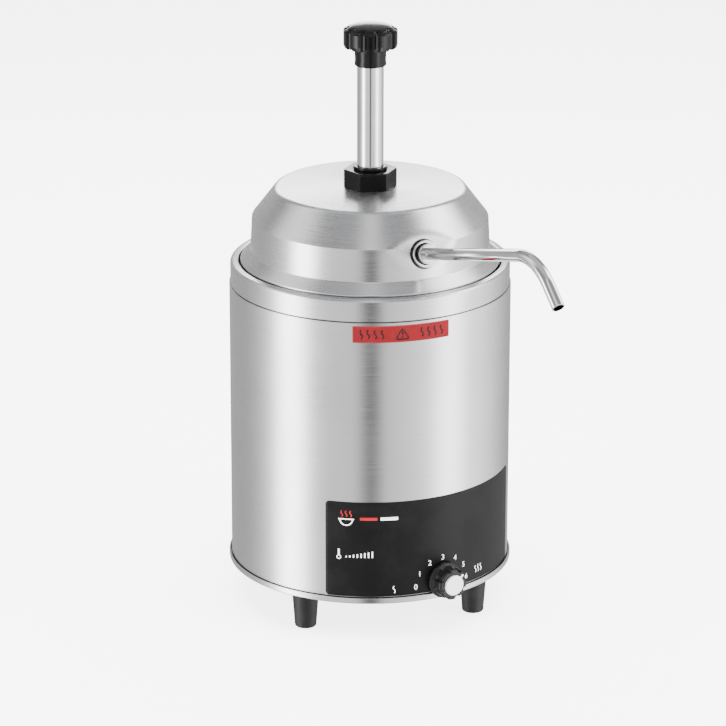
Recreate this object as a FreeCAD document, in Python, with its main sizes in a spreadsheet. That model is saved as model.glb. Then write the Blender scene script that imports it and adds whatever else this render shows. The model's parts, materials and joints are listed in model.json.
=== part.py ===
import FreeCAD, Part
import math
import os
import re
import Sketcher

# A heated, hand-pumped sauce dispenser: a round steel warmer with a water well, a lift-out pot, and a
# lid that carries the pump, its spout and its plunger. Millimetres. The origin is on the floor under
# the middle of the body, +Z is up and the dial faces -Y. Angles called "turn" are read from above,
# from the front (-Y) towards the right (+X).

doc = FreeCAD.newDocument("sauce_warmer")

# ---------------------------------------------------------------- sizes

SIZES = [
    ("wrap_radius", 114.3, "outside radius of the round body"),
    ("wrap_height", 235.4, "height of the outer wrap sheet"),
    ("wrap_sheet", 0.8, "wall of the outer wrap"),
    ("sheet_gap", 0.1, "clearance between sheets that telescope"),
    ("seat_gap", 0.2, "clearance under a piece that only rests in place"),
    ("foot_height", 31.0, "height of the rubber feet"),
    ("foot_top_radius", 11.0, "foot radius at the pan"),
    ("foot_floor_radius", 8.8, "foot radius at the floor"),
    ("foot_inset", 15.0, "from the wrap to the axis of a foot"),
    ("foot_turn", 27.5, "turn of the front right foot"),
    ("foot_web", 7.0, "rubber left under the head of a foot screw"),
    ("screw_radius", 2.5, "shank radius of the foot screws"),
    ("screw_head_radius", 4.7, "head radius of the foot screws"),
    ("screw_head_height", 3.2, "head height of the foot screws"),
    ("screw_head_gap", 0.25, "clearance round the head of a foot screw"),
    ("foot_socket_step", 0.25, "how much wider the socket under a foot is than its screw seat"),
    ("screw_reach", 7.0, "screw length above the pan"),
    ("foot_nut_height", 4.0, "height of the nuts inside the pan"),
    ("pan_sheet", 1.2, "wall of the base pan"),
    ("pan_rim_height", 4.9, "height of the rim round the base pan"),
    ("pan_rim_gap", 0.8, "between the wrap and the rim of the pan"),
    ("shoulder_sheet", 1.0, "wall of the shoulder ring"),
    ("shoulder_rise", 19.1, "top of the shoulder ring above the wrap"),
    ("shoulder_skirt", 9.0, "overlap of the shoulder ring inside the wrap"),
    ("shoulder_round", 10.0, "outer rounding of the shoulder ring"),
    ("shoulder_land", 7.2, "width of the shoulder outside the lid recess"),
    ("ledge_rise", 12.4, "ledge inside the shoulder above the wrap"),
    ("ledge_width", 8.0, "width of the ledge that carries the pot"),
    ("rim_gap", 1.2, "between the lid rim and the shoulder"),
    ("control_space", 52.0, "height of the space under the well"),
    ("well_sheet", 0.8, "wall of the water well"),
    ("well_round", 8.0, "rounding round the floor of the well"),
    ("water_gap", 5.5, "water between the well wall and the pot wall"),
    ("water_depth", 12.0, "water under the pot"),
    ("jacket_wall", 11.0, "thickness of the insulation"),
    ("jacket_gap", 0.6, "between the insulation and the well"),
    ("plate_radius", 78.0, "radius of the heat plate"),
    ("plate_thickness", 4.0, "thickness of the heat plate"),
    ("coil_radius", 56.0, "radius of the heating element's ring"),
    ("coil_tube", 3.25, "radius of the heating element's tube"),
    ("coil_sweep", 318.0, "arc covered by the heating element"),
    ("coil_leg", 16.0, "length of the element's terminal legs"),
    ("clamp_width", 18.0, "width of the bar that clamps the element"),
    ("clamp_thickness", 2.5, "thickness of the clamp bar"),
    ("stud_radius", 3.0, "radius of the clamp stud"),
    ("clamp_nut_radius", 5.8, "corner radius of the clamp nut"),
    ("clamp_nut_height", 5.0, "height of the clamp nut"),
    ("stud_end", 1.0, "stud below the clamp nut"),
    ("cutoff_radius", 8.0, "radius of the thermal cut-off"),
    ("cutoff_height", 7.0, "height of the thermal cut-off"),
    ("cutoff_reach", 34.0, "from the middle back to the thermal cut-off"),
    ("cutoff_side", 20.0, "from the middle to the left of the thermal cut-off"),
    ("tab_sheet", 0.8, "thickness of the cut-off's tabs"),
    ("tab_width", 6.0, "width of the cut-off's tabs"),
    ("tab_length", 8.0, "length of the cut-off's tabs"),
    ("tab_spread", 4.0, "from the middle of the cut-off to a tab"),
    ("bulb_radius", 2.4, "radius of the thermostat's feeler bulb"),
    ("bulb_length", 62.0, "length of the feeler bulb"),
    ("bulb_reach", 30.0, "from the middle forward to the feeler bulb"),
    ("bulb_side", 10.0, "from the middle to the right of the feeler bulb"),
    ("capillary_radius", 1.0, "radius of the capillary tube"),
    ("capillary_bend", 12.0, "bend radius of the capillary tube"),
    ("thermostat_width", 30.0, "width of the thermostat"),
    ("thermostat_height", 23.0, "height of the thermostat"),
    ("thermostat_depth", 24.0, "depth of the thermostat"),
    ("thermostat_gap", 1.0, "between the thermostat and the wrap"),
    ("capillary_inset", 5.0, "from the thermostat's back to its capillary tube"),
    ("bush_radius", 4.75, "radius of the thermostat's threaded bush"),
    ("bush_reach", 3.6, "bush outside the wrap"),
    ("bush_nut_radius", 7.6, "corner radius of the bush nut"),
    ("bush_nut_height", 2.2, "height of the bush nut"),
    ("block_width", 44.0, "width of the terminal block"),
    ("block_depth", 18.0, "depth of the terminal block"),
    ("block_height", 15.0, "height of the terminal block"),
    ("block_reach", 62.0, "from the middle back to the terminal block"),
    ("terminal_radius", 3.2, "radius of a screw well in the terminal block"),
    ("terminal_pitch", 13.0, "from one screw well to the next"),
    ("gland_height", 50.0, "height of the mains inlet"),
    ("gland_radius", 8.0, "neck radius of the mains inlet"),
    ("gland_flange", 11.5, "flange radius of the mains inlet"),
    ("gland_flange_height", 3.5, "flange thickness of the mains inlet"),
    ("gland_bore", 4.0, "cable hole in the mains inlet"),
    ("gland_neck", 9.0, "neck of the mains inlet behind its flange"),
    ("gland_nut_height", 4.5, "height of the inlet's nut"),
    ("gland_nut_radius", 13.0, "corner radius of the inlet's nut"),
    ("gland_nut_gap", 1.2, "between the inlet's nut and the curved wrap"),
    ("label_film", 0.25, "thickness of the labels"),
    ("panel_arc", 94.8, "arc of the control panel label"),
    ("panel_turn", -1.4, "turn of the middle of the panel label"),
    ("panel_height", 80.7, "height of the panel label"),
    ("panel_margin", 1.0, "panel label above the rim of the pan"),
    ("caution_arc", 39.7, "arc of the hot surface label"),
    ("caution_turn", -18.0, "turn of the middle of the hot surface label"),
    ("caution_height", 13.8, "height of the hot surface label"),
    ("caution_drop", 2.3, "hot surface label below the top of the wrap"),
    ("dial_rise", 10.4, "dial axis above the rim of the pan"),
    ("dial_gap", 0.4, "between the dial and the rim of the pan"),
    ("dial_skirt_radius", 14.8, "radius of the dial's skirt"),
    ("dial_skirt_height", 4.2, "height of the dial's skirt"),
    ("dial_grip_radius", 12.9, "radius over the dial's grip"),
    ("dial_grip_height", 14.5, "height of the dial's grip"),
    ("dial_skirt_side", 2.5, "straight side of the dial's skirt"),
    ("dial_edge", 1.5, "chamfer round the face of the grip"),
    ("dial_flutes", 8.0, "number of grooves round the dial"),
    ("dial_flute_radius", 2.3, "radius of a groove in the dial"),
    ("dial_flute_depth", 1.5, "depth of a groove in the dial"),
    ("dial_recess_radius", 9.2, "recess in the back of the dial"),
    ("dial_recess_depth", 4.4, "depth of that recess"),
    ("dial_socket", 11.5, "depth of the shaft's socket"),
    ("dial_pointer_turn", 50.0, "pointer clockwise from the top"),
    ("dial_cap_radius", 8.4, "radius of the dial's cap"),
    ("dial_cap_height", 1.6, "height of the dial's cap above the grip"),
    ("dial_cap_side", 1.0, "straight side of the dial's cap"),
    ("dial_cap_edge", 0.8, "how far the cap's edge draws in"),
    ("pointer_width", 1.6, "width of the pointer mark"),
    ("pointer_rise", 0.35, "pointer above the grip"),
    ("shaft_radius", 3.0, "radius of the dial shaft"),
    ("shaft_tail", 14.0, "shaft inside the thermostat"),
    ("running_gap", 0.06, "radial clearance of the running fits"),
    ("pot_sheet", 0.8, "wall of the pot"),
    ("pot_round", 10.0, "rounding round the floor of the pot"),
    ("pot_rim_gap", 1.5, "between the pot rim and the shoulder"),
    ("lid_sheet", 1.0, "wall of the lid"),
    ("lid_lip", 6.2, "straight lip under the lid's flare"),
    ("flare_height", 8.3, "height of the lid's flare"),
    ("flare_reach", 8.1, "reach of the lid's flare"),
    ("band_height", 26.4, "height of the lid's upright band"),
    ("band_draft", 1.3, "how far the band draws in"),
    ("bevel_height", 25.0, "height of the lid's bevel"),
    ("bevel_reach", 19.1, "how far the bevel draws in"),
    ("lid_round", 5.0, "rounding round the flat of the lid"),
    ("spout_turn", -4.0, "turn of the spout"),
    ("spout_rise", 15.0, "rise of the spout above level"),
    ("spout_seat", 19.5, "middle of the spout fitting above the band's foot"),
    ("facet_foot", 7.2, "foot of the pressed flat above the band's foot"),
    ("spout_radius", 5.0, "outside radius of the spout"),
    ("spout_wall", 0.9, "wall of the spout"),
    ("spout_run", 157.3, "straight run of the spout from the lid"),
    ("spout_bend", 51.0, "bend radius of the spout"),
    ("spout_drop", 56.0, "angle that the spout bends through"),
    ("spout_tail", 19.7, "straight end of the spout"),
    ("fitting_radius", 6.8, "radius of the spout fitting's barrel"),
    ("fitting_flange", 9.6, "radius of the fitting's inner flange"),
    ("fitting_inside", 12.0, "fitting inside the lid"),
    ("fitting_proud", 0.2, "fitting beyond the collar"),
    ("fitting_step", 2.0, "thickness of the fitting's flange"),
    ("seal_sheet", 1.5, "thickness of the silicone washers"),
    ("locknut_radius", 11.0, "radius of the ring nut outside the lid"),
    ("locknut_height", 3.6, "height of the ring nut"),
    ("locknut_edge", 1.0, "chamfer of the ring nut"),
    ("collar_radius", 8.4, "radius of the collar round the spout"),
    ("collar_height", 4.2, "height of the collar round the spout"),
    ("collar_edge", 0.8, "chamfer of the collar"),
    ("washer_edge", 0.2, "chamfer of the spout's washer"),
    ("tube_stop", 1.2, "web between the two tubes in the fitting"),
    ("cylinder_radius", 16.0, "outside radius of the pump cylinder"),
    ("cylinder_wall", 1.5, "wall of the pump cylinder"),
    ("cylinder_flange", 23.0, "flange radius under the lid"),
    ("flange_thickness", 2.5, "thickness of that flange"),
    ("cylinder_thread", 10.4, "cylinder above the lid"),
    ("nut_flat", 38.4, "width across the flats of the hex nut"),
    ("nut_height", 14.5, "height of the hex nut"),
    ("nut_turn", 8.0, "turn of a corner of the hex nut"),
    ("guide_radius", 12.4, "neck radius of the rod guide"),
    ("guide_flange", 13.6, "flange radius of the rod guide"),
    ("guide_rise", 2.7, "rod guide above the hex nut"),
    ("guide_edge", 0.6, "chamfer of the rod guide"),
    ("thread_relief", 0.5, "between the cylinder's end and the rod guide"),
    ("pump_foot_gap", 6.0, "pump above the floor of the pot"),
    ("valve_wall", 3.0, "wall of the valve body round the cylinder"),
    ("valve_floor", 5.0, "floor of the valve body"),
    ("inlet_radius", 5.0, "radius of the inlet hole"),
    ("inlet_ball_radius", 6.35, "radius of the inlet ball"),
    ("chamber_radius", 8.0, "radius of the inlet ball's chamber"),
    ("ball_lift", 3.0, "lift of the valve balls"),
    ("ball_gap", 0.1, "clearance between a ball and its seat at rest"),
    ("stop_sheet", 1.6, "thickness of the plate over the inlet ball"),
    ("socket_depth", 10.0, "cylinder inside the valve body"),
    ("riser_reach", 31.0, "from the pump's axis to the riser's axis"),
    ("riser_bend", 22.0, "bend radius of the riser"),
    ("boss_radius", 8.2, "radius of the outlet boss"),
    ("web_width", 11.5, "width of the web from the valve to the boss"),
    ("web_rise", 4.0, "web above the outlet seat"),
    ("port_radius", 3.2, "radius of the cross port"),
    ("outlet_radius", 3.2, "radius of the outlet seat's hole"),
    ("outlet_ball_radius", 4.5, "radius of the outlet ball"),
    ("outlet_rise", 14.0, "outlet seat above the pump's foot"),
    ("riser_socket", 9.0, "riser inside the outlet boss"),
    ("rod_radius", 10.75, "radius of the plunger tube"),
    ("rod_wall", 1.2, "wall of the plunger tube"),
    ("stroke", 74.5, "travel of the plunger"),
    ("knob_clearance", 8.1, "knob above the guide at full stroke"),
    ("piston_length", 15.0, "length of the piston"),
    ("spring_space", 22.0, "space left for the spring at full stroke"),
    ("seal_depth", 1.7, "depth of the piston's seal groove"),
    ("seal_width", 3.4, "width of the piston's seal groove"),
    ("plug_length", 12.0, "length of the plug in the tube's foot"),
    ("stem_radius", 4.0, "radius of the plug's stem"),
    ("stem_thread", 5.5, "stem below the piston"),
    ("stem_nut_radius", 7.5, "corner radius of the piston nut"),
    ("stem_nut_height", 4.5, "height of the piston nut"),
    ("spring_radius", 11.6, "middle radius of the return spring"),
    ("spring_wire", 0.8, "wire radius of the return spring"),
    ("spring_turns", 9.0, "turns of the return spring"),
    ("knob_radius", 22.0, "radius over the plunger knob's lobes"),
    ("knob_rim", 14.0, "height of the knob's rim"),
    ("knob_dome", 4.7, "height of the knob's dome"),
    ("knob_neck_radius", 12.8, "radius of the knob's neck"),
    ("knob_neck", 15.0, "height of the knob's neck"),
    ("knob_lobes", 10.0, "number of lobes round the knob"),
    ("knob_lobe_turn", 5.0, "turn of a lobe of the knob"),
    ("knob_flute_radius", 3.6, "radius of a groove between lobes"),
    ("knob_flute_depth", 3.0, "depth of a groove between lobes"),
    ("insert_radius", 5.0, "radius of the knob's threaded insert"),
    ("insert_length", 30.0, "length of the knob's insert"),
    ("cap_plug_length", 14.0, "length of the plug in the tube's head"),
]

# Places and radii that follow from the sizes.
RULES = {
    # body
    "pan_floor": "foot_height + pan_sheet",
    "pan_top": "foot_height + pan_rim_height",
    "wrap_top": "pan_floor + wrap_height",
    "wrap_inside": "wrap_radius - wrap_sheet",
    "pan_inside": "wrap_radius + pan_rim_gap",
    "pan_radius": "pan_inside + pan_sheet",
    "foot_circle": "wrap_radius - foot_inset",
    "foot_seat_radius": "screw_head_radius + screw_head_gap",
    "foot_well_radius": "foot_seat_radius + foot_socket_step",
    "foot_web_foot": "foot_height - foot_web",
    "screw_head_foot": "foot_web_foot - screw_head_height",
    "foot_well_top": "screw_head_foot - seat_gap",
    "past_wrap": "pan_radius + gland_flange",
    "shoulder_radius": "wrap_inside - sheet_gap",
    "shoulder_top": "wrap_top + shoulder_rise",
    "recess_radius": "shoulder_radius - shoulder_land",
    "ledge_top": "wrap_top + ledge_rise",
    "ledge_under": "ledge_top - shoulder_sheet",
    "well_radius": "recess_radius - ledge_width",
    "well_inside": "well_radius - well_sheet",
    "well_bottom": "pan_floor + control_space",
    "well_floor_top": "well_bottom + well_sheet",
    "plate_under": "well_bottom - plate_thickness",
    "coil_centre": "plate_under - coil_tube",
    "clamp_top": "plate_under - 2 * coil_tube",
    "clamp_under": "clamp_top - clamp_thickness",
    "stud_foot": "clamp_under - clamp_nut_height - stud_end",
    "dial_height": "pan_top + dial_rise",
    "label_radius": "wrap_radius + label_film",
    "dial_back": "pan_radius + dial_gap",
    "dial_front": "dial_back + dial_grip_height",
    "thermostat_face": "sqrt(wrap_inside ^ 2 - (thermostat_width / 2) ^ 2) - thermostat_gap",
    "bush_end": "wrap_radius + bush_reach",
    # pot
    "pot_radius": "well_inside - water_gap",
    "pot_inside": "pot_radius - pot_sheet",
    "pot_bottom": "well_floor_top + water_depth",
    "pot_floor_top": "pot_bottom + pot_sheet",
    "pot_rim_radius": "recess_radius - pot_rim_gap",
    "pot_rim_under": "ledge_top + seat_gap",
    "pot_rim_top": "pot_rim_under + pot_sheet",
    # lid
    "lid_rim_radius": "recess_radius - rim_gap",
    "lid_foot": "pot_rim_top + seat_gap",
    "flare_foot": "lid_foot + lid_lip",
    "band_foot": "flare_foot + flare_height",
    "bevel_foot": "band_foot + band_height",
    "lid_top": "bevel_foot + bevel_height",
    "lid_under": "lid_top - lid_sheet",
    "band_foot_radius": "lid_rim_radius - flare_reach",
    "band_top_radius": "band_foot_radius - band_draft",
    "flat_radius": "band_top_radius - bevel_reach",
    "flare_half": "atan(flare_reach / flare_height) / 2",
    "bevel_half": "atan(bevel_reach / bevel_height) / 2",
    "flat_half": "45 deg - bevel_half",
    # spout
    "facet_height": "band_foot + facet_foot",
    "facet_radius": "band_foot_radius - band_draft * facet_foot / band_height",
    "seat_height": "band_foot + spout_seat",
    "fitting_outside": "locknut_height + collar_height + fitting_proud",
    "seat_radius": "facet_radius - (seat_height - facet_height) * tan(spout_rise)",
    "riser_corner": "seat_height - (seat_radius - riser_reach) * tan(spout_rise)",
    "riser_tangent": "riser_bend * tan((90 - spout_rise) / 2)",
    "riser_slant": "(seat_radius - riser_reach) / cos(spout_rise) - riser_tangent",
    # pump
    "cylinder_inside": "cylinder_radius - cylinder_wall",
    "valve_radius": "cylinder_radius + valve_wall",
    "flange_top": "lid_under - seal_sheet",
    "flange_under": "flange_top - flange_thickness",
    "cylinder_top": "lid_top + cylinder_thread",
    "nut_top": "lid_top + nut_height",
    "nut_bore": "cylinder_radius + sheet_gap",
    "guide_foot": "cylinder_top + thread_relief",
    "guide_top": "nut_top + guide_rise",
    "pump_foot": "pot_floor_top + pump_foot_gap",
    "inlet_seat": "pump_foot + valve_floor",
    "inlet_ball_height": "inlet_seat + sqrt(inlet_ball_radius ^ 2 - inlet_radius ^ 2) + ball_gap",
    "stop_under": "inlet_ball_height + inlet_ball_radius + ball_lift + ball_gap",
    "stop_top": "stop_under + stop_sheet",
    "valve_top": "stop_top + socket_depth",
    "outlet_seat": "pump_foot + outlet_rise",
    "outlet_ball_height": "outlet_seat + sqrt(outlet_ball_radius ^ 2 - outlet_radius ^ 2) + ball_gap",
    "riser_foot": "outlet_ball_height + outlet_ball_radius + ball_lift + ball_gap",
    "outlet_bore": "spout_radius + sheet_gap",
    "port_height": "(inlet_seat + outlet_seat) / 2",
    # plunger
    "knob_foot": "guide_top + stroke + knob_clearance",
    "knob_shelf": "knob_foot + knob_neck",
    "knob_shoulder": "knob_shelf + knob_rim",
    "knob_top": "knob_shoulder + knob_dome",
    "rod_inside": "rod_radius - rod_wall",
    "stem_foot": "stop_top + spring_space + stroke",
    "piston_foot": "stem_foot + stem_thread",
    "piston_top": "piston_foot + piston_length",
    "piston_radius": "cylinder_inside - running_gap",
    "seal_foot": "piston_foot + (piston_length - seal_width) / 2",
    "spring_foot": "stop_top + seat_gap",
    "spring_length": "piston_foot - seat_gap - spring_foot",
}

NAMES = {name for name, number, note in SIZES}
FULL_TURN = 360
CORNERS_OF_HEX = 6
FEET = 4


def fill_sheet():
    """Put every size in the sheet, with its name as the alias and its meaning beside it."""
    sheet = doc.addObject("Spreadsheet::Sheet", "Sizes")
    for row, (name, number, note) in enumerate(SIZES, start=1):
        sheet.set("A%d" % row, name)
        sheet.set("B%d" % row, str(number))
        sheet.set("C%d" % row, note)
        sheet.setAlias("B%d" % row, name)
    doc.recompute()
    return sheet


def formula(text):
    """Write a rule in size names as an expression on the sheet."""
    def swap(match):
        word = match.group(0)
        if word in RULES:
            return "(" + formula(RULES[word]) + ")"
        if word in NAMES:
            return "Sizes." + word
        return word
    return re.sub(r"[a-z_]+", swap, text)


def value(text):
    """The number that a rule gives now."""
    result = sizes.evalExpression(formula(text))
    return float(getattr(result, "Value", result))


def bind(item, **rules):
    """Bind properties of an object to rules."""
    for name, rule in rules.items():
        item.setExpression(name, formula(rule))


def place(item, x="0", y="0", z="0", turn="0", tip="0", roll="0"):
    """Bind the placement: roll about Z, then tip about Y, then turn about Z, then move."""
    rule = (
        "placement(vector(%s; %s; %s); rotation(vector(0; 0; 1); %s)"
        " * rotation(vector(0; 1; 0); %s) * rotation(vector(0; 0; 1); %s))"
    )
    item.setExpression("Placement", formula(rule % (x, y, z, turn, tip, roll)))


# ---------------------------------------------------------------- sketches and features

def new_body(label):
    body = doc.addObject("PartDesign::Body", label)
    body.Label = label
    return body


def new_sketch(body, name, plane, lift=None):
    """A sketch on one of the body's origin planes, moved along the plane's normal by a rule."""
    sketch = body.newObject("Sketcher::SketchObject", name)
    roles = {feature.Role: feature for feature in body.Origin.OriginFeatures}
    sketch.AttachmentSupport = (roles[plane], [""])
    sketch.MapMode = "FlatFace"
    if lift is not None:
        sketch.setExpression("AttachmentOffset.Base.z", formula(lift))
    return sketch


def arc_between(start, end, radius, left):
    """The arc from start to end, with its centre to the left or the right of the way."""
    chord = end - start
    middle = (start + end) * 0.5
    rise = math.sqrt(max(radius ** 2 - (chord.Length / 2) ** 2, 0))
    side = FreeCAD.Vector(-chord.y, chord.x, 0).normalize()
    centre = middle + side * (rise if left else -rise)
    first, last = (start, end) if left else (end, start)
    angles = [math.atan2(point.y - centre.y, point.x - centre.x) for point in (first, last)]
    if angles[1] < angles[0]:
        angles[1] += 2 * math.pi
    circle = Part.Circle(centre, FreeCAD.Vector(0, 0, 1), radius)
    return Part.ArcOfCircle(circle, angles[0], angles[1])


def pin_point(sketch, edge, end, rules):
    """Fix one end of an edge at a place given by two rules."""
    for kind, axis, rule in (("DistanceX", -2, rules[0]), ("DistanceY", -1, rules[1])):
        if rule == "0":
            sketch.addConstraint(Sketcher.Constraint("PointOnObject", edge, end, axis))
        else:
            datum = Sketcher.Constraint(kind, -1, 1, edge, end, value(rule))
            number = sketch.addConstraint(datum)
            sketch.setExpression("Constraints[%d]" % number, formula(rule))


def draw(sketch, corners, closed=True):
    """Draw lines and arcs through corners.

    A corner is (across, up), or (across, up, radius, "left" or "right") where the edge that leaves it
    is an arc whose centre lies on that side."""
    points = [FreeCAD.Vector(value(corner[0]), value(corner[1]), 0) for corner in corners]
    count = len(points) if closed else len(points) - 1
    heads = []
    for index in range(count):
        corner = corners[index]
        start = points[index]
        end = points[(index + 1) % len(points)]
        if len(corner) == 4:
            left = corner[3] == "left"
            edge = sketch.addGeometry(arc_between(start, end, value(corner[2]), left))
            number = sketch.addConstraint(Sketcher.Constraint("Radius", edge, value(corner[2])))
            sketch.setExpression("Constraints[%d]" % number, formula(corner[2]))
            heads.append((edge, 1, 2) if left else (edge, 2, 1))
        else:
            edge = sketch.addGeometry(Part.LineSegment(start, end))
            heads.append((edge, 1, 2))
    for index in range(count):
        edge, tail, head = heads[index]
        pin_point(sketch, edge, tail, corners[index])
        if closed or index + 1 < count:
            following = heads[(index + 1) % count]
            joint = Sketcher.Constraint("Coincident", edge, head, following[0], following[1])
            sketch.addConstraint(joint)
        else:
            pin_point(sketch, edge, head, corners[index + 1])
    return sketch


def draw_circle(sketch, radius, across="0", up="0"):
    """Draw a circle of a radius at a place, both given by rules."""
    centre = FreeCAD.Vector(value(across), value(up), 0)
    edge = sketch.addGeometry(Part.Circle(centre, FreeCAD.Vector(0, 0, 1), value(radius)))
    pin_point(sketch, edge, 3, (across, up))
    number = sketch.addConstraint(Sketcher.Constraint("Radius", edge, value(radius)))
    sketch.setExpression("Constraints[%d]" % number, formula(radius))
    return sketch


def turned(label, corners):
    """A body turned about its own Z axis from a closed outline of (radius, height) corners."""
    body = new_body(label)
    sketch = draw(new_sketch(body, label + "_outline", "XZ_Plane"), corners)
    feature = body.newObject("PartDesign::Revolution", label + "_turning")
    feature.Profile = sketch
    feature.ReferenceAxis = (sketch, ["V_Axis"])
    feature.Angle = FULL_TURN
    doc.recompute()
    return body


def round_circles(body, radius, circles):
    """Round the circular edges of the body's tip that have the given radii and heights."""
    tip = body.Tip
    wanted = [(value(across), value(up)) for across, up in circles]
    edges = []
    for number, edge in enumerate(tip.Shape.Edges, start=1):
        curve = edge.Curve
        if not isinstance(curve, Part.Circle):
            continue
        for across, up in wanted:
            if abs(curve.Radius - across) < 0.01 and abs(curve.Center.z - up) < 0.01:
                edges.append("Edge%d" % number)
    feature = body.newObject("PartDesign::Fillet", tip.Name + "_rounding")
    feature.Base = (tip, edges)
    bind(feature, Radius=radius)
    doc.recompute()
    return body


def drill(body, name, sketch, depth=None):
    """Pocket a sketch: through the whole body both ways, or to a depth against its normal."""
    before = body.Tip.Shape.Volume
    feature = body.newObject("PartDesign::Pocket", name)
    feature.Profile = sketch
    if depth is None:
        feature.Midplane = True
        feature.Type = "ThroughAll"
    else:
        bind(feature, Length=depth)
    doc.recompute()
    if feature.Shape.Volume > before - 0.1:
        raise RuntimeError(name + " cuts nothing")
    return feature


def repeat_round(body, name, feature, count):
    """Repeat a feature round the body's Z axis."""
    pattern = body.newObject("PartDesign::PolarPattern", name)
    roles = {item.Role: item for item in body.Origin.OriginFeatures}
    pattern.Originals = [feature]
    pattern.Axis = (roles["Z_Axis"], [""])
    pattern.Angle = FULL_TURN
    bind(pattern, Occurrences=count)
    body.Tip = pattern
    doc.recompute()
    return pattern


def piped(label, radius, path):
    """A round bar along a path of lines and arcs in the body's XZ plane, from its origin up Z."""
    body = new_body(label)
    section = draw_circle(new_sketch(body, label + "_section", "XY_Plane"), radius)
    spine = draw(new_sketch(body, label + "_path", "XZ_Plane"), path, closed=False)
    doc.recompute()
    feature = body.newObject("PartDesign::AdditivePipe", label + "_pipe")
    feature.Profile = section
    feature.Spine = (spine, ["Edge%d" % (number + 1) for number in range(len(path) - 1)])
    doc.recompute()
    return body


def bent_path(first, radius, angle, last):
    """Up a straight run, round a bend towards +X and along a second straight run."""
    bend_across = "%s * (1 - cos(%s))" % (radius, angle)
    bend_up = "%s + %s * sin(%s)" % (first, radius, angle)
    return [
        ("0", "0"),
        ("0", first, radius, "right"),
        (bend_across, bend_up),
        ("%s + (%s) * sin(%s)" % (bend_across, last, angle), "%s + (%s) * cos(%s)" % (bend_up, last, angle)),
    ]


# ---------------------------------------------------------------- primitives and booleans

def cylinder(name, radius, height, sweep=None, **where):
    item = doc.addObject("Part::Cylinder", name)
    bind(item, Radius=radius, Height=height)
    if sweep is not None:
        bind(item, Angle=sweep)
    place(item, **where)
    return item


def block(name, length, width, height, **where):
    item = doc.addObject("Part::Box", name)
    bind(item, Length=length, Width=width, Height=height)
    place(item, **where)
    return item


def prism(name, corner_radius, height, **where):
    item = doc.addObject("Part::Prism", name)
    item.Polygon = CORNERS_OF_HEX
    bind(item, Circumradius=corner_radius, Height=height)
    place(item, **where)
    return item


def fuse(label, items):
    result = doc.addObject("Part::MultiFuse", label)
    result.Label = label
    result.Shapes = items
    doc.recompute()
    return result


def cut(label, base, tools):
    """Take tools away from a base, and check that each of them removes something."""
    tool = tools[0] if len(tools) == 1 else fuse(label + "_tools", tools)
    result = doc.addObject("Part::Cut", label)
    result.Label = label
    result.Base = base
    result.Tool = tool
    doc.recompute()
    if result.Shape.Volume > base.Shape.Volume - 0.1:
        raise RuntimeError(label + " cuts nothing")
    return result


def grouped(label, items):
    result = doc.addObject("Part::Compound", label)
    result.Label = label
    result.Links = items
    doc.recompute()
    return result


# ---------------------------------------------------------------- warmer body

def make_base_pan():
    return turned("base_pan", [
        ("0", "foot_height"),
        ("pan_radius", "foot_height"),
        ("pan_radius", "pan_top"),
        ("pan_inside", "pan_top"),
        ("pan_inside", "pan_floor"),
        ("0", "pan_floor"),
    ])


def drill_base_pan(pan):
    """One hole for each foot screw."""
    sketch = new_sketch(pan, "foot_hole", "XY_Plane")
    across = "foot_circle * sin(foot_turn)"
    up = "-foot_circle * cos(foot_turn)"
    draw_circle(sketch, "screw_radius + sheet_gap", across, up)
    hole = drill(pan, "foot_hole_cut", sketch)
    repeat_round(pan, "foot_hole_set", hole, str(FEET))


def make_outer_wrap():
    """A plain tube with holes for the thermostat's bush and the mains inlet."""
    tube = turned("wrap_tube", [
        ("wrap_inside", "pan_floor"),
        ("wrap_radius", "pan_floor"),
        ("wrap_radius", "wrap_top"),
        ("wrap_inside", "wrap_top"),
    ])
    bush_hole = cylinder("wrap_bush_hole", "bush_radius + sheet_gap", "past_wrap",
                         z="dial_height", turn="-90", tip="90")
    gland_hole = cylinder("wrap_gland_hole", "gland_radius + sheet_gap", "past_wrap",
                          z="gland_height", turn="90", tip="90")
    return cut("outer_wrap", tube, [bush_hole, gland_hole])


def make_shoulder_ring():
    """The rounded ring on top of the wrap, with the recess for the lid and the ledge for the pot."""
    centre = "(shoulder_radius - shoulder_round)"
    inner_round = "(shoulder_round - shoulder_sheet)"
    inner_wall = "(recess_radius + shoulder_sheet)"
    rise = "shoulder_top - shoulder_round + sqrt(%s ^ 2 - (%s - %s) ^ 2)"
    outer_rise = rise % ("shoulder_round", "recess_radius", centre)
    inner_rise = rise % (inner_round, inner_wall, centre)
    return turned("shoulder_ring", [
        ("shoulder_radius", "wrap_top - shoulder_skirt"),
        ("shoulder_radius", "shoulder_top - shoulder_round", "shoulder_round", "left"),
        ("recess_radius", outer_rise),
        ("recess_radius", "ledge_top"),
        ("well_inside", "ledge_top"),
        ("well_inside", "ledge_under"),
        (inner_wall, "ledge_under"),
        (inner_wall, inner_rise, inner_round, "right"),
        ("shoulder_radius - shoulder_sheet", "shoulder_top - shoulder_round"),
        ("shoulder_radius - shoulder_sheet", "wrap_top - shoulder_skirt"),
    ])


def make_water_well():
    well = turned("water_well", [
        ("0", "well_bottom"),
        ("well_radius", "well_bottom"),
        ("well_radius", "ledge_under - well_sheet"),
        ("recess_radius", "ledge_under - well_sheet"),
        ("recess_radius", "ledge_under"),
        ("well_inside", "ledge_under"),
        ("well_inside", "well_floor_top"),
        ("0", "well_floor_top"),
    ])
    round_circles(well, "well_round", [("well_radius", "well_bottom")])
    return round_circles(well, "well_round - well_sheet", [("well_inside", "well_floor_top")])


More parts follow.
